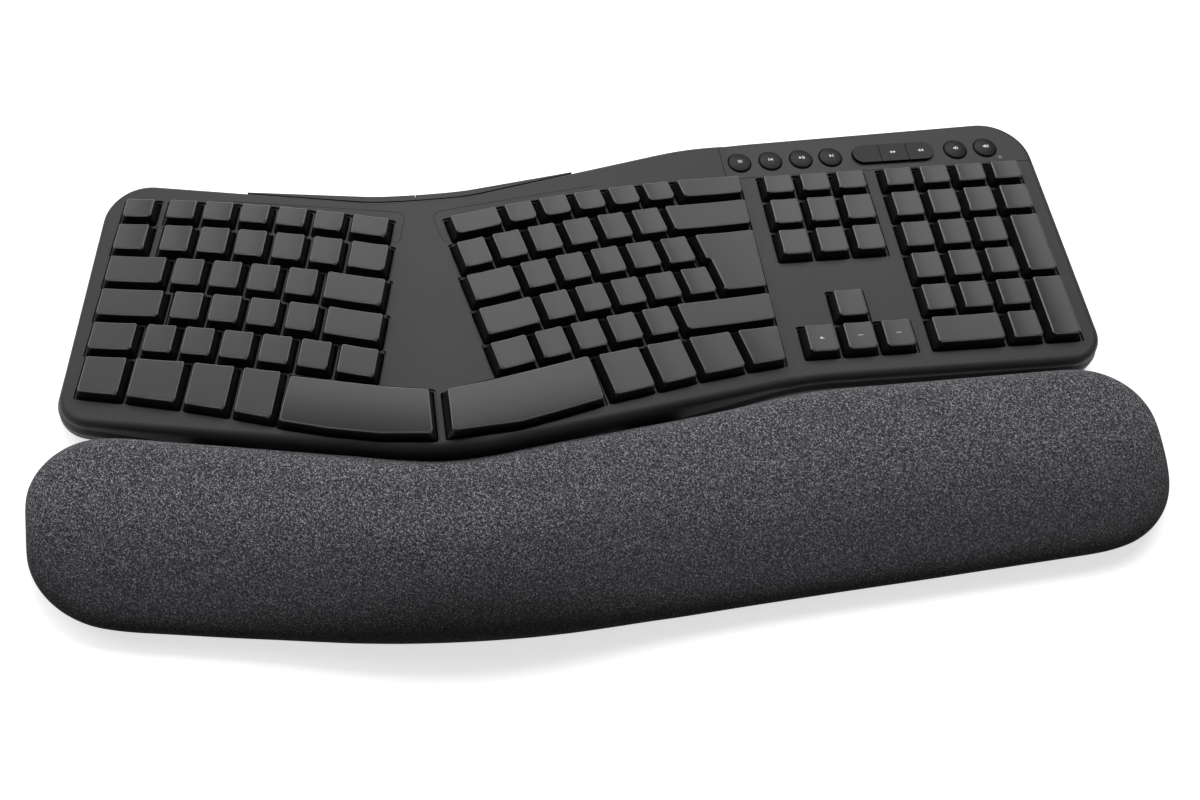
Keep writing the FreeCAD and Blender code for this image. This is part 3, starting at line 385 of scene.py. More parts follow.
def crowned_button(node):
    """Round cap turned from its profile: crowned face, rounded edge, skirt and stem."""
    low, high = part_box(node)
    centre = (low + high) / 2
    radius = (high.x - low.x) / 2
    shoulder = radius - BUTTON_EDGE
    profile = []
    for i in range(CROWN_STEPS + 1):
        out = shoulder * i / CROWN_STEPS
        profile.append((out, high.z - BUTTON_CROWN * (out / shoulder) ** 2))
    edge_top = high.z - BUTTON_CROWN
    for i in range(1, EDGE_STEPS + 1):
        angle = math.pi / 2 * i / EDGE_STEPS
        profile.append((shoulder + BUTTON_EDGE * math.sin(angle),
                        edge_top - BUTTON_EDGE * (1 - math.cos(angle))))
    foot = high.z - BUTTON_SKIRT
    profile += [(radius, foot), (STEM_RADIUS, foot), (STEM_RADIUS, low.z), (0.0, low.z)]
    turn = [2 * math.pi * k / TURN_STEPS for k in range(TURN_STEPS)]
    form = bmesh.new()
    rings = []
    for out, height in profile:
        around = turn if out else turn[:1]
        rings.append([form.verts.new((centre.x + out * math.cos(angle),
                                      centre.y + out * math.sin(angle), height))
                      for angle in around])
    for inner, outer in zip(rings, rings[1:]):
        for k in range(TURN_STEPS):
            following = (k + 1) % TURN_STEPS
            corners = [inner[k % len(inner)], outer[k % len(outer)],
                       outer[following % len(outer)], inner[following % len(inner)]]
            form.faces.new(list(dict.fromkeys(corners)))
    bmesh.ops.recalc_face_normals(form, faces=form.faces)
    return form


for number in ROUND_BUTTONS:
    node = "media_button_%d" % number
    cap = piece_from(crowned_button(node), "media_cap_%d" % number, button_finish)
    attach(cap, node)
    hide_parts(node)
for number in PILL_PARTS:
    dress(button_finish, "media_button_%d" % number)

# Flat shapes of the prints, in millimetres, and where each lies from the button's centre
BAR = [(-0.22, -0.85), (0.22, -0.85), (0.22, 0.85), (-0.22, 0.85)]
ARROW = [(-0.75, -0.85), (0.75, 0.0), (-0.75, 0.85)]
BACK_ARROW = [(-x, y) for x, y in ARROW]
LINE = [(-1.1, -0.14), (1.1, -0.14), (1.1, 0.14), (-1.1, 0.14)]
HORN = [(-1.0, -0.4), (-0.3, -0.4), (0.6, -1.0), (0.6, 1.0), (-0.3, 0.4), (-1.0, 0.4)]
BUTTON_PRINTS = {
    1: [(LINE, 0.0, 0.62), (LINE, 0.0, 0.0), (LINE, 0.0, -0.62)],
    2: [(BAR, -1.05, 0.0), (BACK_ARROW, 0.1, 0.0)],
    3: [(ARROW, -0.55, 0.0), (BAR, 0.65, 0.0), (BAR, 1.35, 0.0)],
    4: [(ARROW, -0.1, 0.0), (BAR, 1.05, 0.0)],
    6: [(ARROW, -0.85, 0.0), (ARROW, 0.65, 0.0)],
    7: [(BACK_ARROW, -0.65, 0.0), (BACK_ARROW, 0.85, 0.0)],
    8: [(HORN, -0.5, 0.0), (BAR, 0.75, 0.0)],
    9: [(HORN, -0.6, 0.0), (BAR, 0.55, 0.0), (BAR, 1.25, 0.0)],
}


def turned_up(form):
    """Let every face of an open bmesh look up."""
    for face in form.faces:
        face.normal_update()
        if face.normal.z < 0:
            face.normal_flip()


def printed(name, node, shapes, crown=0.0, drop=0.0):
    """Thin print on a node's top, which is crowned, or drop metres lower in its middle."""
    low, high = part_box(node)
    centre = (low + high) / 2
    reach = (high.x - low.x) / 2
    form = bmesh.new()
    for outline, right, up in shapes:
        points = []
        for x, y in outline:
            px, py = (x + right) * MILLIMETRE, (y + up) * MILLIMETRE
            fall = drop + crown * (math.hypot(px, py) / reach) ** 2
            points.append(form.verts.new((centre.x + px, centre.y + py,
                                          high.z - fall + PRINT_LIFT)))
        form.faces.new(points)
    turned_up(form)
    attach(piece_from(form, name, print_finish), node)


for number, shapes in BUTTON_PRINTS.items():
    printed("media_mark_%d" % number, "media_button_%d" % number, shapes,
            crown=0.0 if number in PILL_PARTS else BUTTON_CROWN)


# Key caps: thin hollow caps of black plastic with a dished top. The tops are coloured a lighter
# grey than the sides, which are painted near-black as shade, and the rounded top edge carries a
# pale painted highlight. The two space bars are crowned instead.

CAP_HEIGHT = 0.0085
CAP_EDGE = 0.0008
CAP_EDGE_STEPS = 3
CAP_POINT_GAP = 0.00005
DISH = 0.00045
BAR_CROWN = 0.0007
DISH_CUTS = 11
DECK_LEAN = 8.8
LEFT_TURN = -15.25
RIGHT_TURN = 12.9
SAME_POINT = 1e-6
SAME_HEIGHT = 2e-5
SAME_SIDE = 1e-7
FLAT_BELOW = 0.3
LEVEL = 0.999
TOP_DARK = (0.017, 0.017, 0.018)
TOP_LIGHT = (0.023, 0.023, 0.024)
EDGE_HIGHLIGHT = (0.26, 0.26, 0.265)
SHADED_SIDE_BLACK = (0.013, 0.013, 0.0135)
CAP_ROUGHNESS = 0.30
CAP_GRAIN = 0.00025
CAP_GRAIN_DEPTH = 0.00001
CAP_MOTTLE_SIZE = 0.02
LIT_TOP_RISES = (0.36, 0.56)
HIGHLIGHT_RISES = (0.40, 0.60)
HIGHLIGHT_FADES = (0.90, 0.97)

LEFT_CAPS = ["escape_key", "function_keys_left", "number_keys_left", "tab_key",
             "upper_letters_left", "caps_lock_key", "home_letters_left", "shift_key_left",
             "lower_letters_left", "modifier_keys_left", "space_bar_left"]
RIGHT_CAPS = ["function_keys_right", "number_keys_right", "backspace_key", "upper_letters_right",
              "home_letters_right", "lower_letters_right", "shift_key_right", "enter_key",
              "modifier_keys_right", "space_bar_right"]
FLAT_CAPS = ["cursor_block_keys", "arrow_key_up", "arrow_key_left", "arrow_key_down",
             "arrow_key_right", "pad_keys", "pad_zero_key", "pad_plus_key", "pad_enter_key"]
CROWNED_CAPS = ("space_bar_left", "space_bar_right")

cap_finish = Finish("key_cap_shaded_sides", Specular_IOR_Level=0.42)
cap_grain = cap_finish.grain(CAP_GRAIN)
cap_mottle = cap_finish.grain(CAP_MOTTLE_SIZE)
looks_up = cap_finish.upward()
# Painted shade: faces that look sideways get the near-black colour and faces that look up the
# lighter top colour, as if the sides were in shade; the top also gets a little more roughness.
lit_top_mask = looks_up.between(*LIT_TOP_RISES)
# Painted highlight: a pale band on the rounded top edge, where faces lean between up and sideways.
edge_highlight = looks_up.between(*HIGHLIGHT_RISES) - looks_up.between(*HIGHLIGHT_FADES)
top_mottled = cap_finish.mix(cap_mottle * 0.6 + cap_grain * 0.4, TOP_DARK, TOP_LIGHT)
top_colour = cap_finish.mix(edge_highlight * (0.55 + 0.45 * cap_mottle), top_mottled, EDGE_HIGHLIGHT)
cap_finish.feed("Base Color", cap_finish.mix(lit_top_mask, SHADED_SIDE_BLACK, top_colour))
cap_finish.feed("Roughness", CAP_ROUGHNESS + lit_top_mask * 0.08 + (cap_grain - 0.5) * 0.08)
cap_finish.raise_by(cap_grain, CAP_GRAIN_DEPTH)


def key_plane(lean, turn):
    """Turn from a key field's own level frame into the row frame, from angles in degrees."""
    return (Matrix.Rotation(math.radians(lean), 4, "Y")
            @ Matrix.Rotation(math.radians(turn), 4, "Z"))


LEFT_PLANE = key_plane(-DECK_LEAN, LEFT_TURN)
RIGHT_PLANE = key_plane(DECK_LEAN, RIGHT_TURN)
FLAT_PLANE = key_plane(0.0, 0.0)


def cad_form(node):
    """A copy of a CAD node's mesh with its triangles joined up."""
    form = bmesh.new()
    form.from_mesh(frame["nodes"][node].data)
    bmesh.ops.remove_doubles(form, verts=form.verts, dist=SAME_POINT)
    return form


def joined_groups(form):
    """The vertices of a bmesh in groups that hang together, one for each cap."""
    waiting = set(form.verts)
    groups = []
    while waiting:
        found = [waiting.pop()]
        group = []
        while found:
            vert = found.pop()
            group.append(vert)
            for edge in vert.link_edges:
                other = edge.other_vert(vert)
                if other in waiting:
                    waiting.remove(other)
                    found.append(other)
        groups.append(group)
    return groups


def round_off(form, face):
    """Round the edge of a flat top: rows of points that step in from its outline and rise."""
    bmesh.ops.remove_doubles(form, verts=face.verts, dist=CAP_POINT_GAP)
    angles = [math.pi / 2 * i / CAP_EDGE_STEPS for i in range(CAP_EDGE_STEPS + 1)]
    for angle, following in zip(angles, angles[1:]):
        for vert in face.verts:
            vert.co.z -= CAP_EDGE * (1 - math.sin(angle))
        bmesh.ops.inset_region(form, faces=[face], use_even_offset=True,
                               thickness=CAP_EDGE * (math.cos(angle) - math.cos(following)))
        for vert in face.verts:
            vert.co.z += CAP_EDGE * (1 - math.sin(angle))


def bend_top(form, group, top, crowned):
    """Cut one cap across into strips, and lower their points to a dished or crowned top."""
    axis = 1 if crowned else 0
    across = Vector((0, 1, 0)) if crowned else Vector((1, 0, 0))
    shown = [vert.co[axis] for vert in group if vert.co.z > top - SAME_HEIGHT]
    low, high = min(shown) - CAP_EDGE, max(shown) + CAP_EDGE
    middle, half = (low + high) / 2, (high - low) / 2
    edges = {edge for vert in group for edge in vert.link_edges}
    faces = {face for vert in group for face in vert.link_faces}
    geometry = [*group, *edges, *faces]
    for i in range(1, DISH_CUTS + 1):
        place = low + (high - low) * i / (DISH_CUTS + 1)
        cut = bmesh.ops.bisect_plane(form, geom=geometry, dist=SAME_SIDE, plane_co=across * place,
                                     plane_no=across)
        geometry = cut["geom"]
    for vert in geometry:
        if isinstance(vert, bmesh.types.BMVert):
            rise = min(max((vert.co.z - top + CAP_HEIGHT) / CAP_HEIGHT, 0.0), 1.0)
            side = min(abs(vert.co[axis] - middle) / half, 1.0)
            fall = BAR_CROWN * side ** 2 if crowned else DISH * (1 - side ** 2)
            vert.co.z -= fall * rise


def cap_with_edges(node, plane):
    """The CAD caps of a node with a rounded top edge and a dished or crowned top."""
    form = cad_form(node)
    bmesh.ops.transform(form, matrix=plane.inverted(), verts=form.verts)
    bmesh.ops.dissolve_limit(form, angle_limit=math.radians(FLAT_BELOW), verts=form.verts,
                             edges=form.edges)
    top = max(vert.co.z for vert in form.verts)
    tops = [face for face in form.faces
            if face.normal.z > LEVEL and face.calc_center_median().z > top - SAME_HEIGHT]
    for face in tops:
        round_off(form, face)
    for group in joined_groups(form):
        bend_top(form, group, top, node in CROWNED_CAPS)
    bmesh.ops.transform(form, matrix=plane, verts=form.verts)
    return form


for plane, nodes in ((LEFT_PLANE, LEFT_CAPS), (RIGHT_PLANE, RIGHT_CAPS), (FLAT_PLANE, FLAT_CAPS)):
    for node in nodes:
        cap = piece_from(cap_with_edges(node, plane), node + "_cap", cap_finish)
        steady = cap.modifiers.new("flat faces stay flat", "WEIGHTED_NORMAL")
        steady.keep_sharp = True
        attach(cap, node)
        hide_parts(node)

# Small prints on three arrow keys, in millimetres from the middle of the dished top
DASH = [(-1.25, -0.13), (1.25, -0.13), (1.25, 0.13), (-1.25, 0.13)]
SPOT = [(-1.1, -0.5), (1.2, -0.6), (0.2, 0.0), (-0.1, 0.6), (-1.0, 0.3)]
KEY_PRINTS = {"arrow_key_left": SPOT, "arrow_key_down": DASH, "arrow_key_right": DASH}

for node, outline in KEY_PRINTS.items():
    printed(node + "_print", node, [(outline, 0.0, 0.0)], drop=DISH)


# Pressed line in the deck round the inner end of each half's top row, where the mould leaves a
# fine step: a thin near-black ribbon laid on the deck is the painted shadow in that step.

LINE_WIDTH = 0.00055
LINE_LIFT = 0.00004
LINE_SHADOW_DARK = (0.003, 0.003, 0.003)
LINE_SHADOW_LIGHT = (0.008, 0.008, 0.008)
LINE_ROUGHNESS = 0.6
LINE_SHADOW_MOTTLE_SIZE = 0.002
LINE_GRAIN = 0.001
LINE_BEHIND = 0.0048
LINE_BESIDE = 0.0056
LINE_CORNER = 0.0042
LINE_CORNER_STEPS = 12
LINE_FRONT_DROP = 0.0190
LINE_FRONT_TURN = math.pi / 3
LINE_FRONT_STEPS = 10
LINE_RUN = 0.088
LINE_STEP = 0.0005
ABOVE_DECK = 0.02

line_shadow_finish = Finish("pressed_line")
# Painted shadow: the ribbon's near-black colour stands in for the shade in the step, mottled a
# little.
line_shadow_mottle = line_shadow_finish.grain(LINE_SHADOW_MOTTLE_SIZE, detail=2.0)
line_shadow_finish.feed("Base Color", line_shadow_finish.mix(line_shadow_mottle, LINE_SHADOW_DARK, LINE_SHADOW_LIGHT))
line_shadow_finish.feed("Roughness", LINE_ROUGHNESS + line_shadow_finish.grain(LINE_GRAIN, detail=2.0) * 0.1)
cover_form = bmesh.new()
cover_form.from_mesh(frame["nodes"]["top_cover"].data)
cover_skin = BVHTree.FromBMesh(cover_form)
cover_form.free()


def line_path(node, plane, inward):
    """Points of one line in its key field's own frame, mirrored for the right half, and the
    height of the key that it goes round."""
    form = cad_form(node)
    bmesh.ops.transform(form, matrix=plane.inverted(), verts=form.verts)
    key = max(joined_groups(form),
              key=lambda group: inward * sum(vert.co.x for vert in group) / len(group))
    end = max(inward * vert.co.x for vert in key) + LINE_BESIDE
    rear = max(vert.co.y for vert in key) + LINE_BEHIND
    height = max(vert.co.z for vert in key)
    form.free()
    steps_behind = int((LINE_RUN - LINE_CORNER) / LINE_STEP)
    steps_beside = int((LINE_FRONT_DROP - 2 * LINE_CORNER) / LINE_STEP)
    corner = Vector((end - LINE_CORNER, rear - LINE_CORNER))
    front = Vector((end - LINE_CORNER, rear - LINE_FRONT_DROP + LINE_CORNER))
    path = [Vector((end - LINE_RUN + LINE_STEP * i, rear)) for i in range(steps_behind)]
    for i in range(LINE_CORNER_STEPS + 1):
        angle = math.pi / 2 * i / LINE_CORNER_STEPS
        path.append(corner + LINE_CORNER * Vector((math.sin(angle), math.cos(angle))))
    path += [Vector((end, rear - LINE_CORNER - LINE_STEP * i)) for i in range(1, steps_beside)]
    for i in range(LINE_FRONT_STEPS + 1):
        angle = LINE_FRONT_TURN * i / LINE_FRONT_STEPS
        path.append(front + LINE_CORNER * Vector((math.cos(angle), -math.sin(angle))))
    return path, height


def pressed_line(name, node, plane, inward):
    """Ribbon on the deck: along behind the top row, round its inner end and in to the key."""
    path, height = line_path(node, plane, inward)
    form = bmesh.new()
    sides = []
    for i, point in enumerate(path):
        along = (path[min(i + 1, len(path) - 1)] - path[max(i - 1, 0)]).normalized()
        across = Vector((-along.y, along.x)) * LINE_WIDTH / 2
        pair = []
        for shifted in (point + across, point - across):
            above = plane @ Vector((inward * shifted.x, shifted.y, height))
            above.z += ABOVE_DECK
            hit = cover_skin.ray_cast(above, Vector((0, 0, -1)))[0]
            pair.append(form.verts.new(hit + Vector((0, 0, LINE_LIFT))))
        sides.append(pair)
    for (a, b), (c, d) in zip(sides, sides[1:]):
        form.faces.new((a, b, d, c))
    turned_up(form)
    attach(piece_from(form, name, line_shadow_finish), "keyboard")


pressed_line("pressed_line_left", "function_keys_left", LEFT_PLANE, 1)
pressed_line("pressed_line_right", "function_keys_right", RIGHT_PLANE, -1)


# Palm rest: a block of foam on a stiff board, under one cover of grey melange knit that is
# drawn tight and bonded below. The cover is crowned behind and falls toward the front; its
# colour darkens toward the front as painted shade.

REST_SPACING = 0.0032
REST_END = 0.044
REST_END_STEPS = 40
REST_SPINE_RISE = 0.010
REST_FOOT_RISE = 0.0003
REST_RAYS = 120
REST_RISE_STEPS = 22
REST_BOTTOM_STEPS = 9
REST_POINT_GAP = 1e-5
REST_START_INSET = 0.0008
REST_PRESSURE = 4.0
REST_MASS = 0.3
REST_STIFFNESS = 40.0
REST_BENDING = 5.0
REST_STEPS = 20
REST_COLUMN = 0.006
REST_CROWN = 0.0052
REST_HUMP = 0.0034
REST_FRONT_FALL = 0.0035
REST_FALL_POWER = 1.3
REST_HUMP_PLACE = -0.085
REST_HUMP_REACH = 0.135
REST_HUMP_POWER = 4
REST_SHOULDER = 0.0015
REST_SHOULDER_HUMP = 0.0075
REST_REAR_SWELL = 0.0008
REST_REAR_HUMP = 0.0028
REST_FRONT_SWELL = 0.0060
REST_FRONT_RIGHT = 0.0028
REST_END_SWELL = 0.25
REST_SLACK = 0.0008
REST_EVENINGS = 8
REST_SMOOTHINGS = 5
REST_CLEARANCE = 0.0008
REST_LOOK_AHEAD = 0.02
LOOKS_UP = (0.2, 0.7)
LOOKS_DOWN = (0.45, 0.85)
LOOKS_ASIDE = (0.0, 0.4)
YARN_DARK = (0.016, 0.016, 0.018)
YARN_MID = (0.115, 0.116, 0.126)
YARN_PALE = (0.70, 0.71, 0.76)
FRONT_SHADE_MOST = 0.72
FRONT_SHADE_RISES = (0.25, 1.05)
FIBRE_LENGTH = 0.0013
FIBRE_WIDTH = 0.00042
FIBRE_LEANS = ((0.6, 0.0), (-0.5, 3.7), (1.45, 8.1))
PALE_RISES = (0.60, 0.74)
HOLLOW_RISES = (1.2, 1.75)
BLOTCH_SIZE = 0.004
KNIT_ROUGHNESS = 0.9
KNIT_DEPTH = 0.0003

knit_finish = Finish("melange_knit", Sheen_Weight=0.12, Sheen_Roughness=0.5,
                     Specular_IOR_Level=0.12)
fibres = []
for lean, seed in FIBRE_LEANS:
    turned = knit_finish.node("ShaderNodeVectorRotate", {"rotation_type": "Z_AXIS"},
                              {"Vector": knit_finish.place, "Angle": lean})
    drawn_out = knit_finish.node("ShaderNodeVectorMath", {"operation": "MULTIPLY_ADD"},
                                 {0: turned, 1: (FIBRE_WIDTH / FIBRE_LENGTH, 1.0, 1.0),
                                  2: (seed, seed, seed)})
    fibres.append(knit_finish.grain(FIBRE_WIDTH, detail=1.5, place=drawn_out))
tangle = fibres[0].larger(fibres[1]).larger(fibres[2])
pale_fibres = tangle.between(*PALE_RISES)
dark_hollows = (fibres[0] + fibres[1] + fibres[2]).between(*HOLLOW_RISES)
blotches = knit_finish.grain(BLOTCH_SIZE)
ground = knit_finish.mix(dark_hollows * 0.8 + blotches * 0.2, YARN_DARK, YARN_MID)
clean = knit_finish.mix(pale_fibres * 0.7, ground, YARN_PALE)
# Painted shade: the knit's colour is mixed toward the dark yarn toward the front, standing in for
# the shade that falls on the front of the cushion.
front_shade = knit_finish.node("ShaderNodeAttribute", {"attribute_name": "forward"}, {}, "Fac")
front_shade = front_shade.between(*FRONT_SHADE_RISES) * FRONT_SHADE_MOST
knit_finish.feed("Base Color", knit_finish.mix(front_shade, clean, YARN_DARK))
knit_finish.feed("Roughness", KNIT_ROUGHNESS - pale_fibres * 0.1)
knit_finish.raise_by(tangle * 0.7 + dark_hollows * 0.3, KNIT_DEPTH)


def outer_skin(node):
    """The outside of a hollow CAD node as a new mesh: of its loose shells, the tallest."""
    form = cad_form(node)
    outside = max(joined_groups(form), key=lambda group: (max(vert.co.z for vert in group)
                                                          - min(vert.co.z for vert in group)))
    kept = set(outside)
    bmesh.ops.delete(form, geom=[vert for vert in form.verts if vert not in kept], context="VERTS")
    bmesh.ops.recalc_face_normals(form, faces=form.faces)
    return form


def spread(path, count):
    """Points at even distances along a path of points."""
    path = np.array(path)
    steps = np.linalg.norm(np.diff(path, axis=0), axis=1)
    gone = np.concatenate([[0.0], np.cumsum(steps)])
    places = np.linspace(0.0, gone[-1], count)
    return np.stack([np.interp(places, gone, path[:, axis]) for axis in range(3)], axis=1)


def rest_slices(skin, low, high):
    """Where each slice of the cushion starts on a line along its middle, and which way it looks."""
    height = low.z + REST_SPINE_RISE
    count = round((high.x - low.x - 2 * REST_END) / REST_SPACING)
    spine = []
    for x in np.linspace(low.x + REST_END, high.x - REST_END, count):
        rear = skin.ray_cast(Vector((x, high.y + REST_END, height)), Vector((0, -1, 0)))[0]
        front = skin.ray_cast(Vector((x, low.y - REST_END, height)), Vector((0, 1, 0)))[0]
        spine.append(Vector((x, (rear.y + front.y) / 2, height)))
    turn = [math.pi * i / REST_END_STEPS for i in range(1, REST_END_STEPS)]
    slices = [(point, Vector((0, 1, 0))) for point in spine]
    slices += [(spine[-1], Vector((math.sin(angle), math.cos(angle), 0))) for angle in turn]
    slices += [(point, Vector((0, -1, 0))) for point in reversed(spine)]
    slices += [(spine[0], Vector((-math.sin(angle), -math.cos(angle), 0))) for angle in turn]
    return slices


def wrapped(skin, low, high):
    """An even mesh on a long closed form: slices from its foot up to a line along its middle."""
    columns = []
    for point, outward in rest_slices(skin, low, high):
        ground = Vector((point.x, point.y, low.z))
        foot = skin.ray_cast(ground + Vector((0, 0, REST_FOOT_RISE)), outward)[0]
        lowest = math.atan2(foot.z - point.z, (foot - point).xy.length)
        rise = []
        for i in range(REST_RAYS):
            angle = lowest + (math.pi / 2 - lowest) * i / (REST_RAYS - 1)
            ray = outward * math.cos(angle) + Vector((0, 0, math.sin(angle)))
            rise.append(skin.ray_cast(point, ray)[0])
        foot.z = low.z
        flat = [ground.lerp(foot, i / REST_BOTTOM_STEPS) for i in range(REST_BOTTOM_STEPS)]
        columns.append(flat + list(spread(rise, REST_RISE_STEPS)))
    form = bmesh.new()
    grid = [[form.verts.new(place) for place in column] for column in columns]
    for this, following in zip(grid, grid[1:] + grid[:1]):
        for i in range(len(this) - 1):
            form.faces.new((this[i], following[i], following[i + 1], this[i + 1]))
    bmesh.ops.remove_doubles(form, verts=form.verts, dist=REST_POINT_GAP)
    bmesh.ops.recalc_face_normals(form, faces=form.faces)
    return form


def settled(piece):
    """Put the result of a piece's modifiers into its mesh."""
    shown = piece.evaluated_get(bpy.context.evaluated_depsgraph_get())
    mesh = bpy.data.meshes.new_from_object(shown)
    piece.modifiers.clear()
    piece.data = mesh


def put_points(piece, points):
    piece.data.vertices.foreach_set("co", points.astype(np.float32).ravel())
    piece.data.update()


def share(values, start, full):
    """0 up to start, 1 from full on, and even between them."""
    return np.clip((values - start) / (full - start), 0.0, 1.0)


cad_skin = outer_skin("palm_rest_fabric")
skin_low = Vector([min(vert.co[axis] for vert in cad_skin.verts) for axis in range(3)])
skin_high = Vector([max(vert.co[axis] for vert in cad_skin.verts) for axis in range(3)])
rest = piece_from(wrapped(BVHTree.FromBMesh(cad_skin), skin_low, skin_high), "palm_rest_cover",
                  knit_finish, sharp_above=180.0)
cad_skin.free()

# The cloth is blown up from a slightly smaller form, to see how far each point would swell
skin_places = np.array([vert.co for vert in rest.data.vertices])
skin_normals = np.array([vert.normal for vert in rest.data.vertices])
start_places = skin_places - skin_normals * REST_START_INSET
put_points(rest, start_places)
swell_by = np.zeros(len(start_places))
swell = rest.modifiers.new("swell", "CLOTH")
swell.settings.use_pressure = True
swell.settings.uniform_pressure_force = REST_PRESSURE
swell.settings.effector_weights.gravity = 0.0
swell.settings.mass = REST_MASS
swell.settings.tension_stiffness = REST_STIFFNESS
swell.settings.compression_stiffness = REST_STIFFNESS
swell.settings.bending_stiffness = REST_BENDING
for step in range(1, REST_STEPS + 1):
    bpy.context.scene.frame_set(step)
settled(rest)
bpy.context.scene.frame_set(1)
swollen = np.array([vert.co for vert in rest.data.vertices])
swell_by = np.einsum("ij,ij->i", swollen - start_places, skin_normals) - REST_START_INSET

# The most that the foam lets each point swell: crowned behind, with a hump behind the ridge
across, height = skin_places[:, 0], skin_normals[:, 2]
columns = np.round((across - across.min()) / REST_COLUMN).astype(int)
rear = np.full(columns.max() + 1, -1.0)
front = np.full(columns.max() + 1, 1.0)
np.maximum.at(rear, columns, skin_places[:, 1])
np.minimum.at(front, columns, skin_places[:, 1])
forward = (rear[columns] - skin_places[:, 1]) / (rear[columns] - front[columns])
hump = np.exp(-((across - REST_HUMP_PLACE) / REST_HUMP_REACH) ** REST_HUMP_POWER)
faces_up = share(height, *LOOKS_UP)
faces_keys = share(skin_normals[:, 1], *LOOKS_ASIDE)
faces_front = share(-skin_normals[:, 1], *LOOKS_ASIDE)
slanted = np.sin(np.pi * share(height, 0.0, 1.0))
grounded = share(-height, *LOOKS_DOWN)
from_end = share(across.max() - np.abs(across), 0.0, REST_END)
front_swell = REST_FRONT_SWELL + REST_FRONT_RIGHT * share(across, 0.0, REST_HUMP_REACH)
front_swell *= REST_END_SWELL + (1.0 - REST_END_SWELL) * from_end
rear_top = REST_CROWN + REST_HUMP * hump
top_swell = rear_top - (rear_top + REST_FRONT_FALL) * forward ** REST_FALL_POWER
side_swell = faces_keys * (REST_REAR_SWELL + REST_REAR_HUMP * hump) + faces_front * front_swell
most_swell = top_swell * faces_up + side_swell * (1.0 - faces_up)
most_swell += faces_keys * slanted * (REST_SHOULDER + REST_SHOULDER_HUMP * hump)
most_swell *= 1.0 - grounded
swell_by = np.clip(swell_by, most_swell - REST_SLACK, most_swell)
pairs = np.array([edge.vertices[:] for edge in rest.data.edges])
links = np.bincount(pairs.ravel(), minlength=len(swell_by))[:, None]


def averaged(values):
    """Each point's mean of the points that edges join it to."""
    total = np.zeros_like(values)
    np.add.at(total, pairs[:, 0], values[pairs[:, 1]])
    np.add.at(total, pairs[:, 1], values[pairs[:, 0]])
    return total / links


moves = skin_normals * swell_by[:, None]
for _ in range(REST_EVENINGS):
    moves = averaged(moves)
places = skin_places + moves
for _ in range(REST_SMOOTHINGS):
    places = (places + averaged(places)) / 2
places[:, 2] = np.maximum(places[:, 2], skin_places[:, 2].min())

# Where the deck's front wall would be too near, the cover is drawn forward until it's clear
for place in places:
    inside = Vector((place[0], place[1] - REST_LOOK_AHEAD, place[2]))
    wall = cover_skin.ray_cast(inside, Vector((0, 1, 0)))[0]
    if wall:
        place[1] = min(place[1], wall.y - REST_CLEARANCE)
put_points(rest, places)
# Share of the way from rear to front, which sets where the knit's painted shade darkens the cover.
forward_for_shade = rest.data.attributes.new("forward", "FLOAT", "POINT")
forward_for_shade.data.foreach_set("value", forward.astype(np.float32))
finer = rest.modifiers.new("finer", "SUBSURF")
finer.levels = 1
finer.render_levels = 1
settled(rest)
rest.data.polygons.foreach_set("use_smooth", [True] * len(rest.data.polygons))
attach(rest, "keyboard")
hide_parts("palm_rest_fabric", "palm_rest_foam")


# Floor: a wide sheet of white board, which shows the keyboard's soft shadow. It throws little
# light back at the keyboard.

FLOOR_HALF = 4.0
FLOOR_WHITE = (0.95, 0.95, 0.95)
FLOOR_FOR_LIGHT = (0.12, 0.12, 0.12)
FLOOR_GLOW = (0.66, 0.66, 0.66)
FLOOR_NO_GLOW = (0.0, 0.0, 0.0)
FLOOR_ROUGHNESS = 0.85
FLOOR_GRAIN = 0.002

floor_form = bmesh.new()
floor_form.faces.new([floor_form.verts.new((x * FLOOR_HALF, y * FLOOR_HALF, 0.0))
                      for x, y in ((-1, -1), (1, -1), (1, 1), (-1, 1))])
floor_finish = Finish("white_board", Emission_Strength=1.0)
seen = floor_finish.node("ShaderNodeLightPath", {}, {}, "Is Camera Ray")
mirrored = floor_finish.node("ShaderNodeLightPath", {}, {}, "Is Glossy Ray")
through = floor_finish.node("ShaderNodeLightPath", {}, {}, "Is Transmission Ray")
board_seen = (seen + mirrored).larger(through).between(0.0, 1.0)
floor_finish.feed("Base Color", floor_finish.mix(board_seen, FLOOR_FOR_LIGHT, FLOOR_WHITE))
floor_finish.feed("Emission Color", floor_finish.mix(board_seen, FLOOR_NO_GLOW, FLOOR_GLOW))
floor_finish.feed("Roughness", FLOOR_ROUGHNESS + floor_finish.grain(FLOOR_GRAIN, detail=2.0) * 0.05)
floor = piece_from(floor_form, "floor", floor_finish)


# Light: one wide soft box above and behind, a weaker one at the left, and a plain room that
# looks white to the camera.

ROOM_LEVEL = 0.10
ROOM_SEEN = 1.0
WHITE = (1.0, 1.0, 1.0, 1.0)

world = bpy.data.worlds.new("room")
world.use_nodes = True
bpy.context.scene.world = world
room = world.node_tree.nodes["Background"]
room_path = world.node_tree.nodes.new("ShaderNodeLightPath")
room_mix = world.node_tree.nodes.new("ShaderNodeMix")
room_mix.data_type = "FLOAT"
room_mix.inputs[2].default_value = ROOM_LEVEL
room_mix.inputs[3].default_value = ROOM_SEEN
world.node_tree.links.new(room_path.outputs["Is Camera Ray"], room_mix.inputs[0])
world.node_tree.links.new(room_mix.outputs[0], room.inputs["Strength"])
room.inputs["Color"].default_value = WHITE


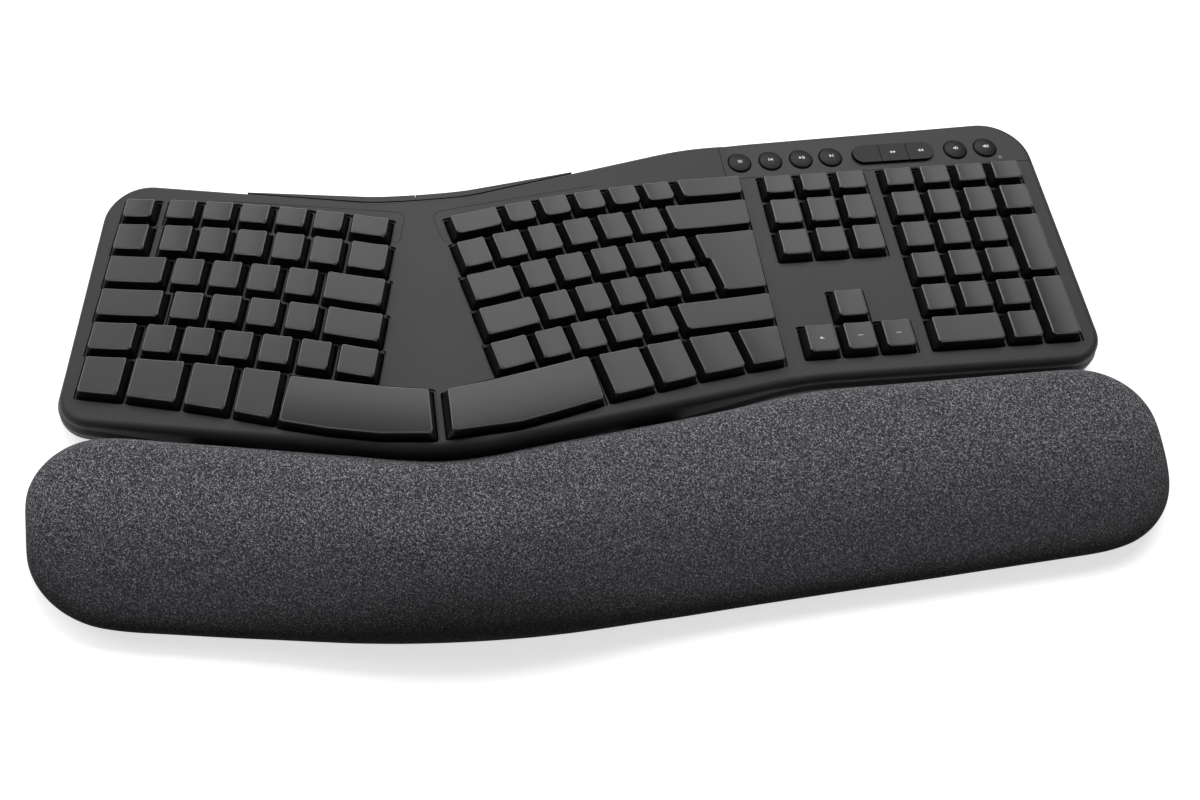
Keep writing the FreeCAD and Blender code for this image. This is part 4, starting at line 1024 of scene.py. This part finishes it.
def soft_box(name, place, width, depth, power):
    """A lamp with a wide face that looks at the row frame's origin."""
    lamp = bpy.data.lights.new(name, "AREA")
    lamp.shape = "RECTANGLE"
    lamp.size = width
    lamp.size_y = depth
    lamp.energy = power
    holder = bpy.data.objects.new(name, lamp)
    bpy.context.scene.collection.objects.link(holder)
    holder.location = place
    holder.rotation_euler = (-Vector(place)).to_track_quat("-Z", "Y").to_euler()


soft_box("box_behind", (0.14, 0.76, 0.94), 1.5, 0.7, 14.0)
soft_box("box_at_left", (-1.1, 0.6, 0.9), 1.0, 0.8, 6.0)


# Camera: where the photograph was taken from, above the front edge and a little to the left.
# Its place, turn, lens and shift were fitted to the corners of keys in the photograph.

CAMERA_PLACE = Vector((-0.14976, -0.36321, 0.64126))
CAMERA_AZIMUTH = math.radians(7.831)
CAMERA_DROP = math.radians(60.417)
CAMERA_ROLL = math.radians(-2.698)
CAMERA_LENS = 45.71
CAMERA_SENSOR = 36.0
CAMERA_SHIFT = 0.1833
CAMERA_NEAR = 0.01
CAMERA_FAR = 50.0

camera_data = bpy.data.cameras.new("camera")
camera_data.sensor_width = CAMERA_SENSOR
camera_data.lens = CAMERA_LENS
camera_data.shift_x = CAMERA_SHIFT
camera_data.clip_start = CAMERA_NEAR
camera_data.clip_end = CAMERA_FAR
camera = bpy.data.objects.new("camera", camera_data)
bpy.context.scene.collection.objects.link(camera)
level_look = Vector((math.sin(CAMERA_AZIMUTH), math.cos(CAMERA_AZIMUTH), 0.0))
look = level_look * math.cos(CAMERA_DROP) - Vector((0.0, 0.0, math.sin(CAMERA_DROP)))
level = Vector((math.cos(CAMERA_AZIMUTH), -math.sin(CAMERA_AZIMUTH), 0.0))
over = level.cross(look)
side = level * math.cos(CAMERA_ROLL) - over * math.sin(CAMERA_ROLL)
upright = level * math.sin(CAMERA_ROLL) + over * math.cos(CAMERA_ROLL)
camera.matrix_world = Matrix.Translation(CAMERA_PLACE) @ Matrix((
    (side.x, upright.x, -look.x, 0.0), (side.y, upright.y, -look.y, 0.0),
    (side.z, upright.z, -look.z, 0.0), (0.0, 0.0, 0.0, 1.0)))
bpy.context.scene.camera = camera
bpy.context.scene.view_settings.view_transform = "Standard"
